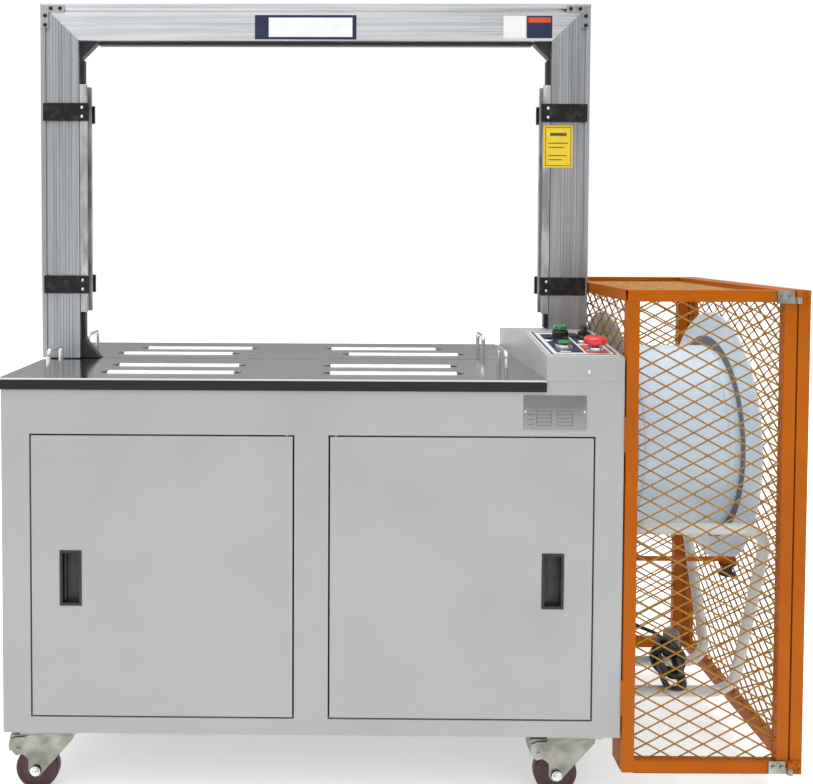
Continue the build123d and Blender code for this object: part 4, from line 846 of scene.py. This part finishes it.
sticker("notice_ground", (972, 1028), (1107, 1188), YELLOW_FILM, 0.2)
for place, (x, z) in enumerate([((975, 1025), (1183.6, 1185)), ((975, 1025), (1110, 1111.4)),
                                ((975, 976.4), (1110, 1185)), ((1023.6, 1025), (1110, 1185)),
                                ((984, 1016), (1168, 1174)), ((981, 1019), (1153, 1155)),
                                ((981, 1012), (1145, 1147)), ((981, 1017), (1129, 1131)),
                                ((981, 1008), (1121, 1123))]):
    sticker(f"notice_rule_{place}", x, z, INK, 1.4)
sticker("beam_badge_ground", (411, 608), (1353, 1400), NAVY_FILM, 0.2)
sticker("beam_badge_panel", (438, 600), (1358, 1395), WHITE_FILM, 1.4)
sticker("beam_notice_left", (892, 935), (1356, 1399), WHITE_FILM, 0.2)
sticker("beam_notice_right", (937, 986), (1356, 1399), NAVY_FILM, 0.2)
sticker("beam_notice_head", (940, 983), (1386, 1396), RED_FILM, 1.4)

# ---------------------------------------------------------------- console
# A folded white box with a sloped top at the operator's right hand, and a rear cover. The switch
# plate on the slope has a printed overlay; the controls are standard 22 mm panel units.

rolled_copy("console_box", "console_housing", WHITE, 1.0, 3)
rolled_copy("console_back_cover", "console_rear_cover", WHITE, 1.0, 3)

OVERLAY = film("overlay_white", (0.66, 0.68, 0.70), (0.74, 0.75, 0.77), 0.3)
rolled_copy("switch_plate", "console_panel", OVERLAY, 0.4, 2)
console_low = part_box("console_housing")[0]
SLOPE = math.atan2(62.5 - 39.4, 217.0)
on_slope = (Matrix.Translation((console_low.x, fascia.y, 0.730 + 0.0394)) @ Matrix.Rotation(SLOPE, 4, "X"))
PANEL_TOP = 2.0


def overlay_patch(name, u, v, finish, lift):
    """A printed rectangle on the switch plate, in millimetres along its width and up its slope."""
    form = bmesh.new()
    z = (PANEL_TOP + 0.02 + 0.08 * lift) * MM
    add_rounded_box(form, (u[0] * MM, v[0] * MM, z - 0.00008), (u[1] * MM, v[1] * MM, z), 0)
    form.transform(on_slope)
    settle(from_bmesh(name, finish_form(form), finish), "panel_sheet")


for place, (u, v) in enumerate([((9.5, 122), (10.5, 15.5)), ((9.5, 122), (196.5, 201.5)),
                                ((9.5, 14.5), (15.5, 196.5)), ((117, 122), (15.5, 196.5))]):
    overlay_patch(f"overlay_border_{place}", u, v, INK, 1)
overlay_patch("overlay_left_field", (22, 69), (26, 182), NAVY_FILM, 1)
overlay_patch("overlay_right_field", (73, 112), (96, 182), NAVY_FILM, 1)
overlay_patch("overlay_stop_field", (73, 112), (20, 88), RED_FILM, 1)
for place, (u, v) in enumerate([((32, 54), (88, 93)), ((30, 48), (32, 37)), ((76, 92), (101, 105)),
                                ((44, 64), (172, 176))]):
    overlay_patch(f"overlay_blank_tag_{place}", u, v, WHITE_FILM, 2)

# The controls. Each collar is a turned ring screwed to the plate: bright for the flush green button
# and the stop button, black for the tall lamp button and the selector.

control_places = {"estop": (91, 42), "feed": (43, 66), "power": (54, 150), "mode": (97, 148)}


def turned_control(name, place, outline, finish, slot, body="root", stands_for=(), steps=48, crease=35):
    """A turned part that stands on the switch plate's top at a control's place."""
    piece = turned(name, outline, (0, 0, 0), (0, 0, 1), steps, finish, crease)
    piece.data.transform(on_slope @ Matrix.Translation(Vector((*place, PANEL_TOP)) * MM))
    settle(piece, slot, body, *stands_for)


def gloss_moulding(name, colour, tone):
    """Glossy moulded plastic cap."""
    return surface(name, (90, 4, EVEN, 0.3, 0.7), colour, tone, (160, 3, EVEN, 0.3, 0.7, 0.22, 0.36),
                   Coat_Weight=0.35, Coat_Roughness=0.1)


RED_CAP = gloss_moulding("red_cap", (0.62, 0.018, 0.020), (0.74, 0.03, 0.03))
GREEN_LENS = gloss_moulding("green_lens", (0.010, 0.17, 0.055), (0.02, 0.25, 0.09))

turned_control("stop_collar", control_places["estop"],
               [(-4, 6.1), (0, 15), (1.6, 15), (2.2, 14.2), (7.4, 14.2), (8, 13.6), (8, 6.1)],
               BRIGHT, "fasteners", stands_for=["control_bezels"])
for name, place, outline, finish, slot in (
        ("feed_collar", control_places["feed"],
         [(-4, 6.1), (0, 14.5), (2, 14.5), (4.6, 13.4), (6, 12.6), (6, 6.1)], BRIGHT, "fasteners"),
        ("lamp_collar", control_places["power"],
         [(-4, 6.1), (0, 14.5), (12.6, 14.5), (14, 13.4), (14, 6.1)], MOULDED, "black_plastic"),
        ("selector_collar", control_places["mode"],
         [(-4, 6.1), (0, 13), (5, 13), (6, 12), (6, 6.1)], MOULDED, "black_plastic"),
        ("blank_disc", (80, 170), [(0, 0), (0, 15), (1.4, 15), (2, 14.4), (2, 0)], MOULDED, "black_plastic")):
    turned_control(name, place, outline, finish, slot)
for number, place in enumerate(((28, 122), (57, 116), (86, 116))):
    turned_control(f"timer_ring_{number}", place, [(0, 5.2), (0, 8), (2.2, 8), (3, 7.2), (3, 5.2)],
                   BRIGHT, "fasteners")
    turned_control(f"timer_dial_{number}", place, [(0, 0), (0, 5.2), (7.2, 4.9), (8, 4.2), (8, 0)],
                   MOULDED, "black_plastic", steps=12, crease=20)
STEM = [(-16, 0), (-16, 6)]
turned_control("stop_head", control_places["estop"],
               STEM + [(12.5, 6), (12.5, 17.0), (13.0, 18.4), (14.3, 19.4), (16.6, 20), (20.4, 20),
                       (22.4, 19.5), (23.9, 18.2), (24.9, 15.8), (25.4, 11), (25.5, 6), (25.5, 0)],
               RED_CAP, "red_button", "estop", ["estop_button"], 64, 40)
turned_control("feed_cap", control_places["feed"],
               STEM + [(9.3, 6), (9.3, 11), (9.8, 11.5), (11.6, 11.5), (12.2, 10.9), (11.9, 6), (11.8, 0)],
               GREEN_LENS, "green_button", "feed", ["feed_button"])
turned_control("lamp_cap", control_places["power"],
               STEM + [(17.3, 6), (17.3, 12), (23.0, 12), (24.1, 10.9), (24.3, 6), (24.3, 0)],
               GREEN_LENS, "green_button", "power", ["power_button"])
rolled_copy("selector_knob", "mode_knob", MOULDED, 0.8, 3, "mode")

# A tapered rubber sleeve and nut where the cord leaves the side, and the screw in the console's front.
SLEEVE = [(-6, 0), (-6, 9), (0, 9), (0, 12), (2.5, 12), (3, 11.4), (10, 11.4), (10.4, 9.4), (14, 8.2),
          (14.4, 7.0), (16, 7.0), (16.4, 7.8), (19, 7.4), (19.4, 6.4), (21, 6.4), (21.4, 7.1), (24, 6.8),
          (24.4, 5.9), (26, 5.9), (26.4, 6.5), (29, 6.2), (33, 5.6), (34, 4.2), (34, 0)]
sleeve = turned("cord_sleeve", SLEEVE, beside_cabinet(0, 430.0, 172.0), (1, 0, 0), 32, MOULDED, 30)
settle(sleeve, "black_plastic", "root", "cord_gland")
heads("console_screw", [(left_side + 1.0, fascia.y, 0.7445)], 4.0, 3.0, FACING_FRONT, BRIGHT)

# ---------------------------------------------------------------- reel cage
# Orange powder-coated square tube, welded, with expanded metal in every side. The right-hand side
# is a door on two zinc hinges.

ORANGE = surface("orange_powder_coat", (7, 5, EVEN, 0.3, 0.7), (0.37, 0.082, 0.001), (0.44, 0.108, 0.001),
                 (20, 3, EVEN, 0.3, 0.7, 0.32, 0.44), (380, 2, EVEN, 0.00008), Specular_IOR_Level=0.12)
# The same orange coat on the strands, painted yellower and lighter: a painted sheen for how the light falls
# on the thin strands.
STRAND_TONE = (130, 4, EVEN, 0.35, 0.7)
STRAND_PAINTED_SHEEN = surface("orange_coat_on_mesh_painted_sheen", STRAND_TONE, (0.25, 0.115, 0.008), (0.42, 0.215, 0.022), STRAND_TONE + (0.3, 0.45),
                 Specular_IOR_Level=0.3)
rolled_copy("cage_tubes", "cage_frame", ORANGE, 1.2, 3)
rolled_copy("cage_door_tubes", "cage_door_frame", ORANGE, 1.2, 3, "cage_door")
coat(ZINC, "hinge_hardware")


def expanded_tree():
    """Expanded metal: zigzag strands side by side, every second one mirrored to meet at knuckles."""
    tree = bpy.data.node_groups.new("expanded_metal", "GeometryNodeTree")
    face = tree.interface
    face.new_socket("Start", in_out="INPUT", socket_type="NodeSocketGeometry")
    for label, kind in (("Half pitches", "Int"), ("Rows", "Int"), ("Half pitch", "Float"),
                        ("Row pitch", "Float"), ("Strand width", "Float"), ("Strand thickness", "Float"),
                        ("Twist", "Float"), ("Finish", "Material")):
        face.new_socket(label, in_out="INPUT", socket_type="NodeSocket" + kind)
    face.new_socket("Sheet", in_out="OUTPUT", socket_type="NodeSocketGeometry")
    given = tree.nodes.new("NodeGroupInput").outputs
    add = adder(tree)

    def math_of(operation, first, second):
        return add("ShaderNodeMath", {0: first, 1: second}, operation=operation).outputs[0]

    count = math_of("ADD", given["Half pitches"], 1.0)
    step = add("ShaderNodeCombineXYZ", {"X": given["Half pitch"]}).outputs[0]
    line = add("GeometryNodeMeshLine", {"Count": count, "Offset": step}).outputs[0]
    parity = math_of("FLOORED_MODULO", add("GeometryNodeInputIndex").outputs[0], 2.0)
    half_row = math_of("MULTIPLY", given["Row pitch"], 0.5)
    rise = math_of("MULTIPLY", parity, half_row)
    ways = []
    for sign in (1.0, -1.0):
        shift = add("ShaderNodeCombineXYZ", {"Y": math_of("MULTIPLY", rise, sign)}).outputs[0]
        bent = add("GeometryNodeSetPosition", {"Geometry": line, "Offset": shift}).outputs[0]
        curve = add("GeometryNodeMeshToCurve", {"Mesh": bent}).outputs[0]
        upright = add("GeometryNodeSetCurveNormal", {"Curve": curve}, mode="Z_UP").outputs[0]
        tilt = add("GeometryNodeSetCurveTilt", {"Curve": upright, "Tilt": given["Twist"]})
        profile = add("GeometryNodeCurvePrimitiveQuadrilateral",
                      {"Width": given["Strand width"], "Height": given["Strand thickness"]}).outputs[0]
        strand = add("GeometryNodeCurveToMesh", {"Curve": tilt.outputs[0], "Profile Curve": profile,
                                                 "Fill Caps": True}).outputs[0]
        row_step = add("ShaderNodeCombineXYZ", {"Y": given["Row pitch"]}).outputs[0]
        base = add("ShaderNodeCombineXYZ", {"Y": half_row}).outputs[0]
        rows = add("GeometryNodeMeshLine", {"Count": given["Rows"], "Offset": row_step,
                                            "Start Location": base}).outputs[0]
        ways.append(add("GeometryNodeInstanceOnPoints", {"Points": rows, "Instance": strand}).outputs[0])
    both = add("GeometryNodeJoinGeometry")
    for way in ways:
        tree.links.new(way, both.inputs[0])
    real = add("GeometryNodeRealizeInstances", {"Geometry": both.outputs[0]}).outputs[0]
    dressed = add("GeometryNodeSetMaterial", {"Geometry": real, "Material": given["Finish"]}).outputs[0]
    tree.links.new(dressed, tree.nodes.new("NodeGroupOutput").inputs["Sheet"])
    return tree


EXPANDED = expanded_tree()
LONG_WAY, SHORT_WAY = 0.047, 0.026


def mesh_sheet(name, width, height, place, body="root", *stands_for):
    """One sheet of expanded metal in the XY plane from the origin, then put in its frame."""
    columns, rows = round(width / LONG_WAY), round(height / SHORT_WAY)
    piece = grow(name, EXPANDED, [(0, 0, 0)], {
        "Half pitches": 2 * columns, "Rows": rows, "Half pitch": width / columns / 2,
        "Row pitch": height / rows, "Strand width": 0.0028, "Strand thickness": 0.0018,
        "Twist": math.radians(28), "Finish": STRAND_PAINTED_SHEEN})
    piece.data.transform(place)
    for face in piece.data.polygons:
        face.use_smooth = False
    return settle(piece, "cage_mesh", body, *stands_for)


cage_low, cage_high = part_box("cage_frame")
door_low, door_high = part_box("cage_door_mesh")
TUBE = 0.020
LEFT_SHEET_FOOT = 0.725       # the cabinet covers the cage's left side below this
cage_left = RIGHT + 0.003
inner_w = cage_high.x - cage_left - 2 * TUBE
inner_h = cage_high.z - cage_low.z - 2 * TUBE
inner_d = cage_high.y - cage_low.y - 2 * TUBE
upright = Matrix.Rotation(math.pi / 2, 4, "X")
sideways = Matrix.Rotation(math.pi / 2, 4, "Z") @ upright
bottom = cage_low.z + TUBE
moved = Matrix.Translation
mesh_sheet("cage_mesh_front", inner_w, inner_h,
           moved((cage_left + TUBE, cage_low.y + TUBE / 2, bottom)) @ upright, "root", "cage_mesh_panels")
mesh_sheet("cage_mesh_back", inner_w, inner_h,
           moved((cage_left + TUBE, cage_high.y - TUBE / 2, bottom)) @ upright)
mesh_sheet("cage_mesh_top", inner_w, inner_d,
           moved((cage_left + TUBE, cage_low.y + TUBE, cage_high.z - TUBE / 2)))
mesh_sheet("cage_mesh_left", inner_d, cage_high.z - TUBE - LEFT_SHEET_FOOT,
           moved((cage_left + TUBE / 2, cage_low.y + TUBE, LEFT_SHEET_FOOT)) @ sideways)
mesh_sheet("cage_mesh_door", inner_d, inner_h,
           moved(((door_low.x + door_high.x) / 2, door_low.y, bottom)) @ sideways,
           "cage_door", "cage_door_mesh")

# ---------------------------------------------------------------- strap reel
# The empty coil holder: an off-white moulded drum between two dished flanges, turning on a steel
# shaft. Two off-white tube hoops guard it, and an orange arm with a black spool feels the strap.

# Off-white moulding, faintly blue, scuffed where strap coils are pushed on; dark grey rings on the flanges
# beside the drum ends are painted shade for the gap between drum and flange.
REEL = surface("reel_moulding", (16, 6, EVEN, 0.42, 0.7), (0.60, 0.74, 0.86), (0.70, 0.80, 0.89),
               (30, 4, EVEN, 0.3, 0.7, 0.35, 0.5), (60, 3, EVEN, 0.0002), Coat_Weight=0.1)
GAP_SHADE = surface("painted_gap_shade", (900, 4), (0.10, 0.105, 0.13), (0.20, 0.205, 0.23), None, (900, 4, EVEN, 0.0003),
               Roughness=0.9)
drum_low, drum_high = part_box("reel_drum")
reel_axis = Vector((drum_low.x, (drum_low.y + drum_high.y) / 2, (drum_low.z + drum_high.z) / 2))
DRUM_L = (drum_high.x - drum_low.x) / MM


def reel_piece(name, outline, finish, start_x=0.0, crease=30):
    """A turned part of the reel, start_x in millimetres from the drum's inner end."""
    start = reel_axis + Vector((start_x * MM, 0, 0))
    return settle(turned(name, outline, start, (1, 0, 0), 96, finish, crease), "reel_paint", "reel")


end = DRUM_L
drum_outline = [(0, 15.1), (0, 26), (0, 170), (0, 173), (2, 175), (12, 175), (13.5, 173.4), (19.5, 173.4),
                (21, 175), (end - 21, 175), (end - 19.5, 173.4), (end - 13.5, 173.4), (end - 12, 175),
                (end - 2, 175), (end, 173), (end, 26), (end, 15.1)]
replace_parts(reel_piece("reel_shell", drum_outline, REEL), "reel_drum")


def flange_outline(way):
    """A dished flange with a stiffening bead and a rolled rim; way is 1 for the outer flange."""
    points = [(0, 15.6), (0, 60), (0, 183), (-0.2, 186), (0, 189), (0, 196), (8.2, 236.5), (8.6, 239.0),
              (10.0, 240.0), (11.6, 239.4), (12.1, 237.5), (11.6, 234.8), (3.4, 196), (3.0, 189), (3.0, 60),
              (3.0, 44), (4.5, 42), (4.5, 30), (3.0, 28), (3.0, 15.6)]
    return [(way * along, radius) for along, radius in points]


inner_flange = reel_piece("reel_flange_inner", flange_outline(-1), REEL)
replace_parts(inner_flange, "reel_flanges")
reel_piece("reel_flange_outer", flange_outline(1), REEL, end)
# Thin dark rings on the flanges' inner faces: painted shade for the gap where the drum meets each flange.
ring = [(-0.1, 176), (-1.0, 177), (-1.0, 193), (-0.1, 194)]
reel_piece("reel_shade_ring_outer", ring, GAP_SHADE, end)
reel_piece("reel_shade_ring_inner", [(-along, radius) for along, radius in ring], GAP_SHADE, 0.0)
bolt_ring = [reel_axis + Vector((end * MM + 0.0028, 0.052 * math.cos(turn), 0.052 * math.sin(turn)))
             for turn in [math.radians(30 + 60 * step) for step in range(6)]]
heads("reel_flange_screws", bolt_ring, 4.0, 2.6, FACING_RIGHT, BRIGHT, "reel")

# Turned steel with fine rings round the shaft, and an off-white coat on the bent tube.
RINGS = (120, 2, (8, 1, 1))
TURNED = surface("turned_steel", RINGS, (0.36, 0.36, 0.37), (0.58, 0.58, 0.59), RINGS + (0.3, 0.7, 0.22, 0.4),
                 RINGS + (0.00005,), Metallic=1.0)
rolled_copy("reel_shaft_stand", "reel_stand", TURNED, 0.7, 2)
HOOP = surface("hoop_coat", (18, 4, EVEN, 0.3, 0.7), (0.60, 0.63, 0.62), (0.70, 0.72, 0.71),
               (40, 3, EVEN, 0.3, 0.7, 0.3, 0.45), (420, 3, EVEN, 0.00006), Coat_Weight=0.1)
coat(HOOP, "reel_guard_hoops")
rolled_copy("strap_arm", "brake_arm", ORANGE, 0.5, 2, "dancer_arm")
arm_low, arm_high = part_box("brake_arm")
spool_middle = Vector((arm_high.x - 0.018, (arm_low.y + arm_high.y) / 2, arm_low.z))
SPOOL = [(-0.4, 0), (-0.4, 4), (-0.4, 14.6), (0.6, 15.3), (2.6, 15.3), (3.4, 14.4), (5, 9.6), (10, 8.6),
         (16, 9.6), (17.8, 14.4), (18.6, 15.3), (20.6, 15.3), (21.2, 14.6), (21.2, 0)]
settle(turned("strap_spool", SPOOL, spool_middle, (0, 0, 1), 40, MOULDED, 40), "black_plastic", "dancer_arm")

# ---------------------------------------------------------------- works inside the cabinet
# The sealing head hangs from the deck under the strap slot. A motor and gearbox behind it turn the
# feed roller, the pinch roller presses the strap against it, and a sheet box stores loose strap.


def milled_steel():
    """Milled plate with cutter marks."""
    finish, tree, shader = new_finish("milled_steel", Metallic=1.0)
    place = node(tree, "TexCoord").outputs["Object"]
    marks = node(tree, "TexWave", {"Vector": place, "Scale": 90.0, "Distortion": 1.5}, bands_direction="X")
    tree.links.new(blend_colours(tree, marks.outputs["Fac"], (0.38, 0.38, 0.39, 1), (0.50, 0.50, 0.51, 1)),
                   shader.inputs["Base Color"])
    tree.links.new(ramp(tree, noise(tree, 30, 4), 0.3, 0.7, 0.28, 0.45), shader.inputs["Roughness"])
    relief(tree, shader, marks.outputs["Fac"], 0.00003)
    return finish


def rubber_face():
    """Black rubber facing with a knurl."""
    finish, tree, shader = new_finish("knurled_rubber", Roughness=0.75)
    place = node(tree, "TexCoord").outputs["Object"]
    knurl = node(tree, "TexVoronoi", {"Vector": place, "Scale": 420.0}).outputs["Distance"]
    tree.links.new(blend_colours(tree, knurl, (0.015, 0.015, 0.015, 1), (0.05, 0.05, 0.05, 1)),
                   shader.inputs["Base Color"])
    relief(tree, shader, knurl, 0.0003)
    return finish


def galvanised():
    """Spangled galvanised sheet."""
    finish, tree, shader = new_finish("galvanised_sheet", Metallic=0.8)
    place = node(tree, "TexCoord").outputs["Object"]
    spangle = node(tree, "TexVoronoi", {"Vector": place, "Scale": 70.0}).outputs["Color"]
    tone = node(tree, "SeparateColor", {"Color": spangle}).outputs[0]
    tree.links.new(blend_colours(tree, tone, (0.40, 0.42, 0.43, 1), (0.54, 0.55, 0.56, 1)),
                   shader.inputs["Base Color"])
    tree.links.new(ramp(tree, tone, 0, 1, 0.3, 0.5), shader.inputs["Roughness"])
    return finish


ENAMEL = surface("motor_enamel", (25, 5, EVEN, 0.3, 0.7), (0.07, 0.12, 0.17), (0.11, 0.17, 0.23), None,
                 (350, 4, EVEN, 0.0003), Roughness=0.45)
rolled_copy("sealing_head_block", "sealing_head", milled_steel(), 0.6, 2)
rolled_copy("pool_box_sheet", "strap_pool_box", galvanised(), 0.5, 2)
coat(ENAMEL, "drive_motor")
coat(rubber_face(), "feed_roller", "pinch_roller")

# ---------------------------------------------------------------- view layer update
bpy.context.view_layer.update()
